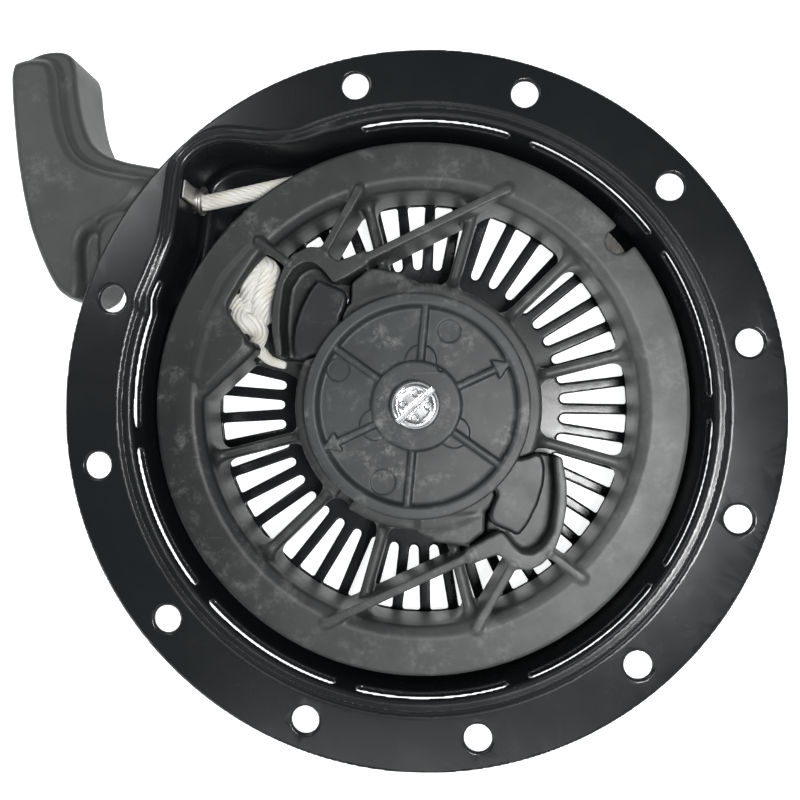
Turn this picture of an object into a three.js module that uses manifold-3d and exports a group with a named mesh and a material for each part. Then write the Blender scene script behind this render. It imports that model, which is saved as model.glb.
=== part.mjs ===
// Recoil starter for a small engine: a pressed steel dish with a sprung rope reel, pawls and a T handle.
// Millimetres, +Z up. The reel turns about the Z axis, the engine is above the flange,
// and the origin is on the axis at the outer face of the dish, which the part rests on.
import * as THREE from "three";
import { mergeVertices } from "three/addons/utils/BufferGeometryUtils.js";
import Module from "manifold-3d";

// Dish
const SHEET = 2;
const FLANGE_RADIUS = 120;
const FLANGE_TOP = 42;
const WALL_TOP_RADIUS = 97.6;
const WALL_FOOT_RADIUS = 94.6;
const RIM_STEP_WIDTH = 3.2;
const RIM_STEP_DEPTH = 1.3;
const BOLT_HOLE_RADIUS = 4.5;
const BOLT_CIRCLE_RADIUS = 110;
const BOLT_HOLE_PLACES = 12;
const FIRST_BOLT_HOLE_DEG = 130;
const AIR_SLOT_COUNT = 45;
const AIR_SLOT_PHASE_DEG = 2.6;
const AIR_SLOT_INNER_RADIUS = 52.3;
const AIR_SLOT_OUTER_RADIUS = 76.6;
const AIR_SLOT_BAR = 4;
const WINDOW_COUNT = 9;
const WINDOW_FIRST_DEG = 168.6;
const WINDOW_PITCH_DEG = 34.6;
const WINDOW_SPAN_DEG = 30.6;
const WINDOW_BOTTOM = 32.5;
const WINDOW_TOP = 37.2;
const CENTRE_RAISE_RADIUS = 16;
const CENTRE_RAISE = 2.2;

// Rope outlet: a bulge in the dish wall, and the line the rope is pulled along
const BULGE_FLOOR = 11;
const PLATE_WIDTH = 6.4;
const PLATE_TOP_Z = 38.4;
const OUTLET = new THREE.Vector3(-81.6, 76.3, 22);
const PULL_DEG = 172.5;
const BULGE_OUTLINE = [
  [-20, 60], [-26, 92.6], [-33.5, 90], [-49, 89.8], [-64, 92], [-71.5, 90.3], [-77, 86.6],
  [-79.5, 82.8], [-81.9, 64.6], [-83, 57.4], [-87.2, 47.4], [-92.2, 36], [-60, 20],
];

// Rope, and the turns it makes on the reel
const ROPE_RADIUS = 2.9;
const INNER_TURN_RADIUS = 81.3;
const OUTER_TURN_RADIUS = 87.1;
const LOW_TURN_Z = 18.8;
const HIGH_TURN_Z = 25.1;
const LEAD_Z = 18.9;
const ROPE_END_TURN_DEG = 1026;

// Reel
const REEL_RADIUS = 92;
const GROOVE_RADIUS = 77.6;
const GROOVE_BOTTOM_Z = 15.5;
const GROOVE_TOP_Z = 28.5;
const RING_INNER_RADIUS = 75.2;
const RING_FACE_Z = 32;
const RING_FOOT_Z = 9;
const RIB_TOP_Z = 32.8;
const HUB_RADIUS = 43;
const PAWL_BED_Z = 25;
const HUB_FOOT_Z = 5.4;
const SPRING_CUP_RADIUS = 39.6;
const SPRING_CUP_TOP_Z = 20.5;
const HUB_TOP_Z = 29.8;
const JOURNAL_BORE_RADIUS = 8.3;
const SPOKE_COUNT = 12;
const SPOKE_PHASE_DEG = 13.5;
const SPOKE_WIDTH = 3.6;
const SPOKE_TOP_Z = 24.4;
const SPOKES_LEFT_OUT = [4, 5, 10];
const POCKET_FLOOR_Z = 20.5;

// Pawls and the disc that swings them
const PIVOT = [-28.4, 38.4];
const PIVOT_PIN_RADIUS = 2.6;
const PIVOT_PIN_TOP_Z = 28.8;
const PAWL_FOOT_Z = 25.4;
const PAWL_TOP_Z = 30.5;
const PAWL_PEG = [-24.5, 21];
const PAWL_PEG_RADIUS = 1.6;
const PAWL_SWING_DEG = 10;
const GUIDE_LAG_DEG = 24;
const GUIDE_RADIUS = 38.5;
const GUIDE_FOOT_Z = 31;
const GUIDE_FLOOR_Z = 33.8;
const GUIDE_RIM_Z = 37;
const GUIDE_BOSS_RADIUS = 15.2;
const GUIDE_BOSS_Z = 38.3;
const GUIDE_RIB_PHASE_DEG = 24;

// Centre post and screw
const POST_RADIUS = 6;
const ARBOR_RADIUS = 10;
const POST_FOOT_Z = SHEET + CENTRE_RAISE + 0.3;
const POST_TOP_Z = 30.4;
const THRUST_WASHER_RADIUS = 13;
const SCREW_HEAD_RADIUS = 8.4;
const SCREW_SHANK_RADIUS = 2.9;
const SCREW_HOLE_RADIUS = 3.2;

// Handle, measured along and across the pull line from the outlet
const HANDLE_MID_Z = 22;
const GRIP_HALF_DEPTH = 14.5;
const KNOT_CHAMBER_RADIUS = 8;
const KNOT_CHAMBER_START = 42;

const STEEL_BLACK = { color: 0x24272a, roughness: 0.35, metalness: 0.4 };
const REEL_GREY = { color: 0x4f5453, roughness: 0.55, metalness: 0 };
const GUIDE_GREY = { color: 0x565b5a, roughness: 0.5, metalness: 0 };
const HANDLE_GREY = { color: 0x55574f, roughness: 0.5, metalness: 0 };
const ROPE_WHITE = { color: 0xe3dfd2, roughness: 0.9, metalness: 0 };
const ZINC = { color: 0xb9bec2, roughness: 0.3, metalness: 1 };
const SPRING_STEEL = { color: 0x6f7378, roughness: 0.35, metalness: 1 };
const BRONZE = { color: 0xa9834f, roughness: 0.45, metalness: 1 };

const wasm = await Module();
wasm.setup();

const radians = THREE.MathUtils.degToRad;
const pullAxis = new THREE.Vector3(Math.cos(radians(PULL_DEG)), Math.sin(radians(PULL_DEG)), 0);

// A point on a circle about the Z axis
function polar(radius, degrees) {
  return [radius * Math.cos(radians(degrees)), radius * Math.sin(radians(degrees))];
}

// Turns a closed three.js geometry into a solid that can be joined and cut
function solid(geometry) {
  const bare = geometry.index ? geometry.toNonIndexed() : geometry.clone();
  bare.deleteAttribute("normal");
  bare.deleteAttribute("uv");
  const merged = mergeVertices(bare, 1e-4);
  const position = merged.getAttribute("position").array;
  const triangles = [];
  const index = merged.index.array;
  for (let i = 0; i < index.length; i += 3) {
    const [a, b, c] = [index[i], index[i + 1], index[i + 2]];
    if (a !== b && b !== c && c !== a) triangles.push(a, b, c);
  }
  return new wasm.Manifold(new wasm.Mesh({
    numProp: 3,
    vertProperties: new Float32Array(position),
    triVerts: new Uint32Array(triangles),
  }));
}

// Turns a solid back into a three.js geometry
function geometryOf(manifold) {
  const mesh = manifold.getMesh();
  const geometry = new THREE.BufferGeometry();
  const points = new Float32Array(mesh.numVert * 3);
  for (let i = 0; i < mesh.numVert; i += 1) {
    for (let k = 0; k < 3; k += 1) points[i * 3 + k] = mesh.vertProperties[i * mesh.numProp + k];
  }
  geometry.setAttribute("position", new THREE.BufferAttribute(points, 3));
  geometry.setIndex(new THREE.BufferAttribute(new Uint32Array(mesh.triVerts), 1));
  geometry.computeVertexNormals();
  return geometry;
}

// A body turned about the Z axis from [radius, z] pairs listed anticlockwise
function turned(profile, segments = 48) {
  const points = profile.map(([radius, z]) => new THREE.Vector2(radius, z));
  points.push(points[0].clone());
  const geometry = new THREE.LatheGeometry(points, segments);
  geometry.rotateX(Math.PI / 2);
  return solid(geometry);
}

// A ring or, with no inner radius, a disc
function ring(inner, outer, bottom, top, segments = 48) {
  return turned([[inner, bottom], [outer, bottom], [outer, top], [inner, top]], segments);
}

// A straight-sided body over an outline in the XY plane
function prism(outline, bottom, top) {
  const shape = new THREE.Shape(outline.map(([x, y]) => new THREE.Vector2(x, y)));
  const geometry = new THREE.ExtrudeGeometry(shape, { depth: top - bottom, bevelEnabled: false });
  geometry.translate(0, 0, bottom);
  return solid(geometry);
}

// A post standing at a point
function post([x, y], radius, bottom, top, segments = 20) {
  const geometry = new THREE.CylinderGeometry(radius, radius, top - bottom, segments);
  geometry.rotateX(Math.PI / 2);
  geometry.translate(x, y, (top + bottom) / 2);
  return solid(geometry);
}

// An upright wall of even width between two points
function wall([ax, ay], [bx, by], width, bottom, top) {
  const length = Math.hypot(bx - ax, by - ay);
  const geometry = new THREE.BoxGeometry(length, width, top - bottom);
  geometry.rotateZ(Math.atan2(by - ay, bx - ax));
  geometry.translate((ax + bx) / 2, (ay + by) / 2, (top + bottom) / 2);
  return solid(geometry);
}

// A round bar along a smooth path
function bar(points, radius, lengths, sides = 6) {
  const curve = new THREE.CatmullRomCurve3(points);
  const corners = [];
  for (let i = 0; i < sides; i += 1) corners.push(new THREE.Vector2(...polar(radius, (360 * i) / sides)));
  const geometry = new THREE.ExtrudeGeometry(new THREE.Shape(corners), { steps: lengths, extrudePath: curve });
  return solid(geometry);
}

// A body turned about the pull line: [radius, distance from the outlet] pairs, listed anticlockwise
function turnedOnPullLine(profile, segments = 16) {
  const points = profile.map(([radius, along]) => new THREE.Vector2(radius, along));
  points.push(points[0].clone());
  const geometry = new THREE.LatheGeometry(points, segments);
  const turn = new THREE.Quaternion().setFromUnitVectors(new THREE.Vector3(0, 1, 0), pullAxis);
  geometry.applyQuaternion(turn);
  geometry.translate(OUTLET.x, OUTLET.y, OUTLET.z);
  return solid(geometry);
}

// The same body again, half a turn round the Z axis
function opposite(manifold) {
  return manifold.rotate([0, 0, 180]);
}

// Moves every corner of an anticlockwise or clockwise outline outwards
function grown(outline, distance) {
  const area = outline.reduce((sum, [x, y], i) => {
    const [nx, ny] = outline[(i + 1) % outline.length];
    return sum + x * ny - nx * y;
  }, 0);
  const side = Math.sign(area) * distance;
  return outline.map(([x, y], i) => {
    const before = outline[(i + outline.length - 1) % outline.length];
    const after = outline[(i + 1) % outline.length];
    const along = new THREE.Vector2(x - before[0], y - before[1]).normalize();
    const next = new THREE.Vector2(after[0] - x, after[1] - y).normalize();
    const normal = new THREE.Vector2(along.y + next.y, -along.x - next.x).normalize();
    const stretch = side / Math.max(0.5, normal.dot(new THREE.Vector2(along.y, -along.x)));
    return [x + normal.x * stretch, y + normal.y * stretch];
  });
}

function steps(count) {
  return Array.from({ length: count }, (_, i) => i);
}

function smooth(start, end, value) {
  return THREE.MathUtils.smoothstep(value, Math.min(start, end), Math.max(start, end));
}

// One radial air slot: round at the narrow end, square at the wide end
function airSlot(degrees) {
  const pitch = (2 * Math.PI) / AIR_SLOT_COUNT;
  const narrow = (AIR_SLOT_INNER_RADIUS * pitch - AIR_SLOT_BAR) / 2;
  const wide = (AIR_SLOT_OUTER_RADIUS * pitch - AIR_SLOT_BAR) / 2;
  const outline = [
    [AIR_SLOT_OUTER_RADIUS, -wide], [AIR_SLOT_OUTER_RADIUS, wide], [AIR_SLOT_INNER_RADIUS + narrow, narrow],
    [AIR_SLOT_INNER_RADIUS, narrow / 2], [AIR_SLOT_INNER_RADIUS, -narrow / 2],
    [AIR_SLOT_INNER_RADIUS + narrow, -narrow],
  ];
  return prism(outline, -1, SHEET + 1).rotate([0, 0, degrees]);
}

// A side window: a thick arc that cuts through the dish wall
function sideWindow(middle) {
  const start = middle - WINDOW_SPAN_DEG / 2;
  const angles = steps(5).map((i) => start + (WINDOW_SPAN_DEG * i) / 4);
  const outer = angles.map((angle) => polar(103, angle));
  const inner = angles.map((angle) => polar(90, angle)).reverse();
  return prism([...outer, ...inner], WINDOW_BOTTOM, WINDOW_TOP);
}

function makeHousing() {
  const raised = SHEET + CENTRE_RAISE;
  const stepZ = FLANGE_TOP - RIM_STEP_DEPTH;
  const stepRadius = WALL_TOP_RADIUS + RIM_STEP_WIDTH;
  const outside = turned([
    [0, 0], [92.6, 0], [WALL_FOOT_RADIUS + SHEET, 4.4], [WALL_TOP_RADIUS + SHEET, stepZ - SHEET - 1],
    [WALL_TOP_RADIUS + SHEET + 1, stepZ - SHEET], [stepRadius + SHEET, stepZ - SHEET],
    [stepRadius + SHEET, FLANGE_TOP - SHEET], [FLANGE_RADIUS, FLANGE_TOP - SHEET],
    [FLANGE_RADIUS, FLANGE_TOP], [0, FLANGE_TOP],
  ], 72);
  const inside = turned([
    [0, raised], [CENTRE_RAISE_RADIUS - 2, raised], [CENTRE_RAISE_RADIUS + 1.5, SHEET], [91.6, SHEET],
    [WALL_FOOT_RADIUS, 5], [WALL_TOP_RADIUS, stepZ - 0.6], [WALL_TOP_RADIUS + 0.6, stepZ],
    [stepRadius, stepZ], [stepRadius, FLANGE_TOP + 1], [0, FLANGE_TOP + 1],
  ], 72);
  const underCentre = turned([
    [0, -1], [CENTRE_RAISE_RADIUS - 1.4, -1], [CENTRE_RAISE_RADIUS - 1.4, 0],
    [CENTRE_RAISE_RADIUS - 4, CENTRE_RAISE], [0, CENTRE_RAISE],
  ]);
  const bulge = prism(grown(BULGE_OUTLINE, SHEET), BULGE_FLOOR - SHEET, FLANGE_TOP - 0.5)
    .add(prism(grown(BULGE_OUTLINE, RIM_STEP_WIDTH + SHEET), stepZ - SHEET, FLANGE_TOP - 0.5));
  const bulgeSpace = prism(BULGE_OUTLINE, BULGE_FLOOR, FLANGE_TOP + 1)
    .add(prism(grown(BULGE_OUTLINE, RIM_STEP_WIDTH), stepZ, FLANGE_TOP + 1))
    .subtract(ring(0, 60, 0, FLANGE_TOP + 2));
  const outletHole = turnedOnPullLine([[0, -4], [4.7, -4], [4.7, 5], [0, 5]], 16);
  const boltHoles = steps(BOLT_HOLE_PLACES - 1).map((i) => {
    const degrees = FIRST_BOLT_HOLE_DEG + ((i + 1) * 360) / BOLT_HOLE_PLACES;
    return post(polar(BOLT_CIRCLE_RADIUS, degrees), BOLT_HOLE_RADIUS, FLANGE_TOP - 5, FLANGE_TOP + 1, 12);
  });
  const slots = steps(AIR_SLOT_COUNT).map((i) => airSlot(AIR_SLOT_PHASE_DEG + (i * 360) / AIR_SLOT_COUNT));
  const windows = steps(WINDOW_COUNT).map((i) => sideWindow(WINDOW_FIRST_DEG + i * WINDOW_PITCH_DEG));
  const rivetHole = post([0, 0], 5, -1, raised + 1);
  const shell = outside.add(bulge).subtract(inside).subtract(bulgeSpace).subtract(underCentre);
  return [outletHole, rivetHole, ...boltHoles, ...slots, ...windows]
    .reduce((body, hole) => body.subtract(hole), shell);
}

// The sleeve that lines the outlet: a lip at its inner end and a plate that lies up the wall
function makeEyelet() {
  const sleeve = turnedOnPullLine([
    [3.5, -3.9], [4.4, -4.5], [5.3, -4.1], [5.3, -3.3], [4.2, -3.1], [4.2, 3.4], [3.5, 3.4],
  ]);
  const foot = OUTLET.clone().addScaledVector(pullAxis, -1.9);
  const across = new THREE.Vector3(-pullAxis.y, pullAxis.x, 0).multiplyScalar(PLATE_WIDTH / 2);
  const plate = wall([foot.x - across.x, foot.y - across.y], [foot.x + across.x, foot.y + across.y],
    0.8, OUTLET.z - 4, PLATE_TOP_Z);
  const bore = turnedOnPullLine([[0, -6], [3.5, -6], [3.5, 5], [0, 5]]);
  return sleeve.add(plate).subtract(bore);
}

function makeEyeletFlange() {
  return turnedOnPullLine([[4.5, 1.5], [7, 1.5], [7, 2.4], [5.8, 3.4], [4.5, 3.4]]);
}

// Outline of the tall claw-shaped wall beside a pawl: out along its back, and home along its front
const CLAW_BACK = [
  [-48.9, 17.6], [-50.4, 27], [-50.2, 34.5], [-48.9, 41.6], [-46.2, 48.6], [-41.8, 53.8],
  [-37.2, 56], [-33.4, 55.6], [-30.5, 53.6], [-27, 50.6], [-22.8, 52], [-17.4, 54.3],
];
const CLAW_FRONT = [
  [-16, 49.4], [-23.8, 45], [-28.4, 42.9], [-32.6, 48.2], [-35, 50.3], [-38.5, 50.6],
  [-42.5, 48.2], [-45.8, 43], [-47, 35], [-47.4, 28], [-46.6, 17.6],
];

// The pawl lies flat on the hub, pivots near the claw's block and points the way the reel is pulled
const PAWL_OUTLINE = [
  [-33.9, 44.9], [-37.2, 41.1], [-40.8, 34.1], [-43, 27.1], [-43.5, 21.5], [-42.6, 17.4],
  [-40.4, 16.3], [-36.8, 18], [-31, 18.6], [-24.6, 17.6], [-21.6, 21], [-23.6, 25.6],
  [-27, 30.5], [-25, 34.4], [-24, 38.2], [-25.6, 41], [-28.6, 42.3], [-31.2, 43.3],
];

function makeReel() {
  const rim = turned([
    [RING_INNER_RADIUS, RING_FOOT_Z], [GROOVE_RADIUS, RING_FOOT_Z], [GROOVE_RADIUS, GROOVE_BOTTOM_Z - 3],
    [REEL_RADIUS - 0.8, GROOVE_BOTTOM_Z - 3], [REEL_RADIUS, GROOVE_BOTTOM_Z - 2.2],
    [REEL_RADIUS, GROOVE_BOTTOM_Z], [GROOVE_RADIUS, GROOVE_BOTTOM_Z], [GROOVE_RADIUS, GROOVE_TOP_Z],
    [REEL_RADIUS, GROOVE_TOP_Z], [REEL_RADIUS, RING_FACE_Z - 0.8], [REEL_RADIUS - 0.8, RING_FACE_Z],
    [RING_INNER_RADIUS + 2.6, RING_FACE_Z], [RING_INNER_RADIUS, RING_FACE_Z - 2.6],
  ], 64);
  const hub = turned([
    [0, HUB_FOOT_Z], [HUB_RADIUS, HUB_FOOT_Z], [HUB_RADIUS, HUB_TOP_Z - 1], [HUB_RADIUS - 1, HUB_TOP_Z],
    [0, HUB_TOP_Z],
  ], 48);
  const springCup = turned([
    [0, HUB_FOOT_Z - 2], [SPRING_CUP_RADIUS, HUB_FOOT_Z - 2], [SPRING_CUP_RADIUS, SPRING_CUP_TOP_Z],
    [0, SPRING_CUP_TOP_Z],
  ], 40);
  const spokes = steps(SPOKE_COUNT).filter((i) => !SPOKES_LEFT_OUT.includes(i)).map((i) => {
    const degrees = SPOKE_PHASE_DEG + (i * 360) / SPOKE_COUNT;
    return wall(polar(HUB_RADIUS - 2.5, degrees), polar(RING_INNER_RADIUS + 1, degrees),
      SPOKE_WIDTH, RING_FOOT_Z, SPOKE_TOP_Z);
  });
  const claw = prism([...CLAW_BACK, ...CLAW_FRONT], RING_FOOT_Z, RIB_TOP_Z);
  const insideOfClaw = CLAW_FRONT.slice(1).concat([polar(HUB_RADIUS - 2, 156), polar(HUB_RADIUS - 2, 128)]);
  const pocketFloor = prism(grown(insideOfClaw, 0.5), RING_FOOT_Z, POCKET_FLOOR_Z);
  const longRib = wall([-17.2, 51.5], [32.1, 74.2], 3.3, RING_FOOT_Z, RIB_TOP_Z);
  const crossRib = wall([-31.6, 54.6], [-19.3, 75.5], 3.2, RING_FOOT_Z, RIB_TOP_Z);
  const stubRib = wall([-45.2, 51], [-54.9, 58.4], 2.9, RING_FOOT_Z, RIB_TOP_Z);
  const clawGroup = [claw, pocketFloor, longRib, crossRib, stubRib].reduce((body, piece) => body.add(piece));
  const pivot = post(PIVOT, PIVOT_PIN_RADIUS, POCKET_FLOOR_Z - 2, PIVOT_PIN_TOP_Z);

  // Land that carries the hub's top on past the pawl, and the bed that the pawl lies and swings in
  const land = prism([[-22.8, 37], [-22.6, 43.5], [-16, 48.6], [-6, 47], [0, 43.4], [0, 38]],
    RING_FOOT_Z, HUB_TOP_Z);
  const pawlBed = steps(5).map((i) => prism(grown(PAWL_OUTLINE, 0.6), PAWL_BED_Z, RIB_TOP_Z + 1)
    .translate([-PIVOT[0], -PIVOT[1], 0]).rotate([0, 0, (-i * PAWL_SWING_DEG) / 4])
    .translate([PIVOT[0], PIVOT[1], 0])).reduce((sum, place) => sum.add(place));

  // Recess that lets the pawl's spring sit under the pawl
  const springSpace = post(PIVOT, 6.4, POCKET_FLOOR_Z, PAWL_BED_Z + 0.2, 24)
    .subtract(post([0, 0], HUB_RADIUS - 8.6, 0, 40, 48));

  // Knot recess inside the rim: a floor, a lip, a thick slanting wall and a window into the groove
  const knotFloor = prism([
    [-49, 48], [-57, 52.5], [-64, 43.5], [-69, 34], [-67, 24], [-62.4, 17.2], [-56.5, 14.9],
    [-48.7, 12.8], [-41, 8.5], [-38, 14], [-42, 20], [-50, 24], [-50.6, 40],
  ], RING_FOOT_Z, 14);
  const knotWall = wall([-59.6, 20.9], [-75.6, 6.5], 5.2, RING_FOOT_Z, RING_FACE_Z - 2);
  const knotLip = prism([
    [-53.5, 56.5], [-60.8, 45.8], [-66.6, 36.3], [-64.6, 31.2], [-59.4, 24.6], [-60.6, 21],
    [-74.6, 7], [-80, 12], [-76, 30], [-68, 46], [-58, 57],
  ], GROOVE_TOP_Z + 0.5, RING_FACE_Z);
  const knotWindow = prism([
    polar(70, 134), polar(78.5, 134), polar(78.5, 143), polar(78.5, 152), polar(70, 152),
  ], GROOVE_BOTTOM_Z + 0.1, GROOVE_TOP_Z - 0.1);

  const rimNotch = post(polar(REEL_RADIUS - 1, 38.5), 5, GROOVE_TOP_Z - 1, RING_FACE_Z + 1, 16);
  const hubNotch = wall(polar(HUB_RADIUS - 4, 231), polar(HUB_RADIUS + 4, 231), 6, HUB_TOP_Z - 9, HUB_TOP_Z + 1);
  const bore = post([0, 0], JOURNAL_BORE_RADIUS, 0, HUB_TOP_Z + 1, 24);
  const groove = ring(GROOVE_RADIUS, REEL_RADIUS + 2, GROOVE_BOTTOM_Z, GROOVE_TOP_Z, 64);

  let body = rim.add(hub);
  for (const spoke of spokes) body = body.add(spoke);
  body = body.add(land).add(opposite(land)).subtract(pawlBed).subtract(opposite(pawlBed));
  body = body.add(clawGroup).add(opposite(clawGroup)).add(knotWall).add(knotLip).add(knotFloor);
  body = body.subtract(groove).subtract(springCup).subtract(springSpace).subtract(opposite(springSpace));
  body = body.add(pivot).add(opposite(pivot)).subtract(bore);
  return body.subtract(rimNotch).subtract(hubNotch).subtract(knotWindow);
}

function makePawl() {
  const peg = post(PAWL_PEG, PAWL_PEG_RADIUS, PAWL_TOP_Z - 1, GUIDE_FOOT_Z + 1.4, 12);
  const plate = prism(PAWL_OUTLINE, PAWL_FOOT_Z, PAWL_TOP_Z);
  return plate.add(peg).subtract(post(PIVOT, PIVOT_PIN_RADIUS + 0.3, PAWL_FOOT_Z - 1, PIVOT_PIN_TOP_Z + 0.4));
}

// A small coil round the pivot pin, with one leg along the hub
function makePawlSpring() {
  const points = steps(17).map((i) => {
    const [x, y] = polar(3.9, 45 * i);
    return new THREE.Vector3(PIVOT[0] + x, PIVOT[1] + y, POCKET_FLOOR_Z + 0.9 + i * 0.17);
  });
  return bar(points, 0.5, 20, 4);
}

// Where the pawl's peg is, seen from the guide disc, when the disc lags by a given angle
function pegSeenFromGuide(lag) {
  const swing = radians((-lag * PAWL_SWING_DEG) / GUIDE_LAG_DEG);
  const peg = new THREE.Vector2(...PAWL_PEG);
  peg.rotateAround(new THREE.Vector2(...PIVOT), swing);
  peg.rotateAround(new THREE.Vector2(0, 0), radians(lag));
  return [peg.x, peg.y];
}

function makeGuide() {
  const plate = turned([
    [0, GUIDE_FOOT_Z], [GUIDE_RADIUS, GUIDE_FOOT_Z], [GUIDE_RADIUS, GUIDE_RIM_Z - 1.2],
    [GUIDE_RADIUS - 1.2, GUIDE_RIM_Z], [GUIDE_RADIUS - 4, GUIDE_RIM_Z], [GUIDE_RADIUS - 4.8, GUIDE_FLOOR_Z],
    [GUIDE_BOSS_RADIUS, GUIDE_FLOOR_Z], [GUIDE_BOSS_RADIUS, GUIDE_BOSS_Z], [0, GUIDE_BOSS_Z],
  ], 40);
  const ribs = steps(6).map((i) => {
    const degrees = GUIDE_RIB_PHASE_DEG + i * 60;
    const rib = wall(polar(GUIDE_BOSS_RADIUS - 1, degrees), polar(GUIDE_RADIUS - 4, degrees),
      3, GUIDE_FLOOR_Z - 1, GUIDE_RIM_Z - 0.8);
    if (i % 3 !== 0) return rib;
    const arrow = [polar(GUIDE_RADIUS - 3.6, degrees), polar(GUIDE_RADIUS - 9, degrees + 7),
      polar(GUIDE_RADIUS - 9, degrees - 7)];
    return rib.add(prism(arrow, GUIDE_FLOOR_Z - 1, GUIDE_RIM_Z - 0.6));
  });
  const pads = steps(3).map((i) => post(polar(15.6, 84 + i * 120), 5.3, GUIDE_FLOOR_Z - 1, GUIDE_FLOOR_Z + 0.8, 16));
  const springSpace = ring(5.4, 12.6, GUIDE_FOOT_Z - 1, GUIDE_BOSS_Z - 1.8, 24);
  const path = steps(7).map((i) => pegSeenFromGuide((i * GUIDE_LAG_DEG) / 6));
  const pegSlot = path.slice(1).reduce((slot, point, i) => slot
    .add(wall(path[i], point, 3.8, GUIDE_FOOT_Z - 1, GUIDE_FOOT_Z + 1.8))
    .add(post(point, 1.95, GUIDE_FOOT_Z - 1, GUIDE_FOOT_Z + 1.8, 12)),
  post(path[0], 1.95, GUIDE_FOOT_Z - 1, GUIDE_FOOT_Z + 1.8, 12));
  const bore = post([0, 0], SCREW_HOLE_RADIUS, GUIDE_FOOT_Z - 2, GUIDE_BOSS_Z + 2, 20);
  const body = [...ribs, ...pads].reduce((sum, piece) => sum.add(piece), plate);
  return body.subtract(bore).subtract(springSpace).subtract(pegSlot).subtract(opposite(pegSlot));
}

function makeFrictionSpring() {
  const points = steps(25).map((i) => {
    const [x, y] = polar(9, 45 * i);
    return new THREE.Vector3(x, y, GUIDE_FOOT_Z + 0.8 + i * 0.155);
  });
  return bar(points, 0.6, 36, 4);
}

function makePost() {
  const body = turned([
    [0, POST_FOOT_Z], [ARBOR_RADIUS, POST_FOOT_Z], [ARBOR_RADIUS, SPRING_CUP_TOP_Z - 0.4],
    [POST_RADIUS, SPRING_CUP_TOP_Z - 0.4], [POST_RADIUS, POST_TOP_Z], [0, POST_TOP_Z],
  ], 24);
  const hookSlot = wall([ARBOR_RADIUS - 2.4, 0], [ARBOR_RADIUS + 2, 0], 1.6, POST_FOOT_Z + 0.9, SPRING_CUP_TOP_Z);
  return body.subtract(post([0, 0], SCREW_HOLE_RADIUS, 15, POST_TOP_Z + 1))
    .subtract(post([0, 0], 5, POST_FOOT_Z - 1, 12.3)).subtract(hookSlot);
}

function makeRivet() {
  return turned([[0, 0], [9.2, 0], [10, 0.6], [10, 1.5], [9.4, 1.9], [4.7, 1.9], [4.7, 12], [0, 12]], 24);
}

// Flat strip wound from a slot in the post out to the wall of the reel's cup
function makeRecoilSpring() {
  const turns = 5;
  const count = turns * 16;
  const half = 0.45;
  const middle = steps(count + 1).map((i) => {
    const radius = ARBOR_RADIUS + 1.4 + ((SPRING_CUP_RADIUS - ARBOR_RADIUS - 2.4) * i) / count;
    return { radius, degrees: (360 * turns * i) / count };
  });
  const outer = middle.map(({ radius, degrees }) => polar(radius + half, degrees));
  const inner = middle.map(({ radius, degrees }) => polar(radius - half, degrees)).reverse();
  const strip = prism([...outer, ...inner], POST_FOOT_Z + 1.2, SPRING_CUP_TOP_Z - 0.6);
  const hook = wall([ARBOR_RADIUS - 1.8, 0], [ARBOR_RADIUS + 1.5, 0], 0.9, POST_FOOT_Z + 1.2, SPRING_CUP_TOP_Z - 0.6);
  return strip.add(hook);
}

// Height and radius of the wound rope, told from how many degrees it is behind the outlet's tangent.
// Its outer turn lies high in the groove, so the rope that leaves for the outlet runs below it.
function ropeTurn(behind) {
  const risen = 1 - smooth(350, 390, behind);
  const crossed = 1 - smooth(666, 706, behind);
  const radius = INNER_TURN_RADIUS + (OUTER_TURN_RADIUS - INNER_TURN_RADIUS) * risen;
  return { radius, z: LOW_TURN_Z + (HIGH_TURN_Z - LOW_TURN_Z) * crossed };
}

// Direction of the point where the rope leaves the reel for the outlet
const tangentDeg = THREE.MathUtils.radToDeg(
  Math.atan2(OUTLET.y, OUTLET.x) - Math.acos(OUTER_TURN_RADIUS / Math.hypot(OUTLET.x, OUTLET.y)));

function makeRopeCoil() {
  const stepDeg = 12;
  const count = Math.floor(ROPE_END_TURN_DEG / stepDeg);
  const points = steps(count + 1).map((i) => {
    const behind = (ROPE_END_TURN_DEG * i) / count;
    const turn = ropeTurn(behind);
    const [x, y] = polar(turn.radius, tangentDeg - behind);
    return new THREE.Vector3(x, y, turn.z);
  });
  return bar(points, ROPE_RADIUS, count);
}

// The rope's end goes in through the rim and is knotted in the recess
function makeRopeKnot() {
  const lobes = [
    [[-55.4, 44.6, 21.5], 6.4], [[-60.4, 38.6, 22], 5.2], [[-60.6, 31.4, 21.5], 5.2],
    [[-54.4, 36.5, 22], 3.5], [[-55.6, 27.4, 20.5], 3.4],
  ];
  const parts = lobes.map(([[x, y, z], radius]) => {
    const geometry = new THREE.SphereGeometry(radius, 9, 6);
    geometry.rotateX(Math.PI / 2);
    geometry.translate(x, y, z);
    return solid(geometry);
  });
  const cutEnd = bar([new THREE.Vector3(-55.8, 27, 20.2), new THREE.Vector3(-53.8, 17.5, 17.5)], ROPE_RADIUS, 2);
  return parts.reduce((sum, lobe) => sum.add(lobe), cutEnd);
}

// The rope runs level below the coil's outer turn until it is clear of the reel, then rises to the outlet
function makeRopeLead() {
  const [x, y] = polar(OUTER_TURN_RADIUS, tangentDeg);
  const start = new THREE.Vector3(x, y, LEAD_Z);
  const end = OUTLET.clone().addScaledVector(pullAxis, 3.4);
  const along = new THREE.Vector3(end.x - x, end.y - y, 0).normalize();
  const level = [0.5, 16, 34].map((distance) => start.clone().addScaledVector(along, distance));
  const inSleeve = [-6.5, -2].map((distance) => OUTLET.clone().addScaledVector(pullAxis, distance));
  return bar([...level, ...inSleeve, end], ROPE_RADIUS, 14);
}

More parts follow.
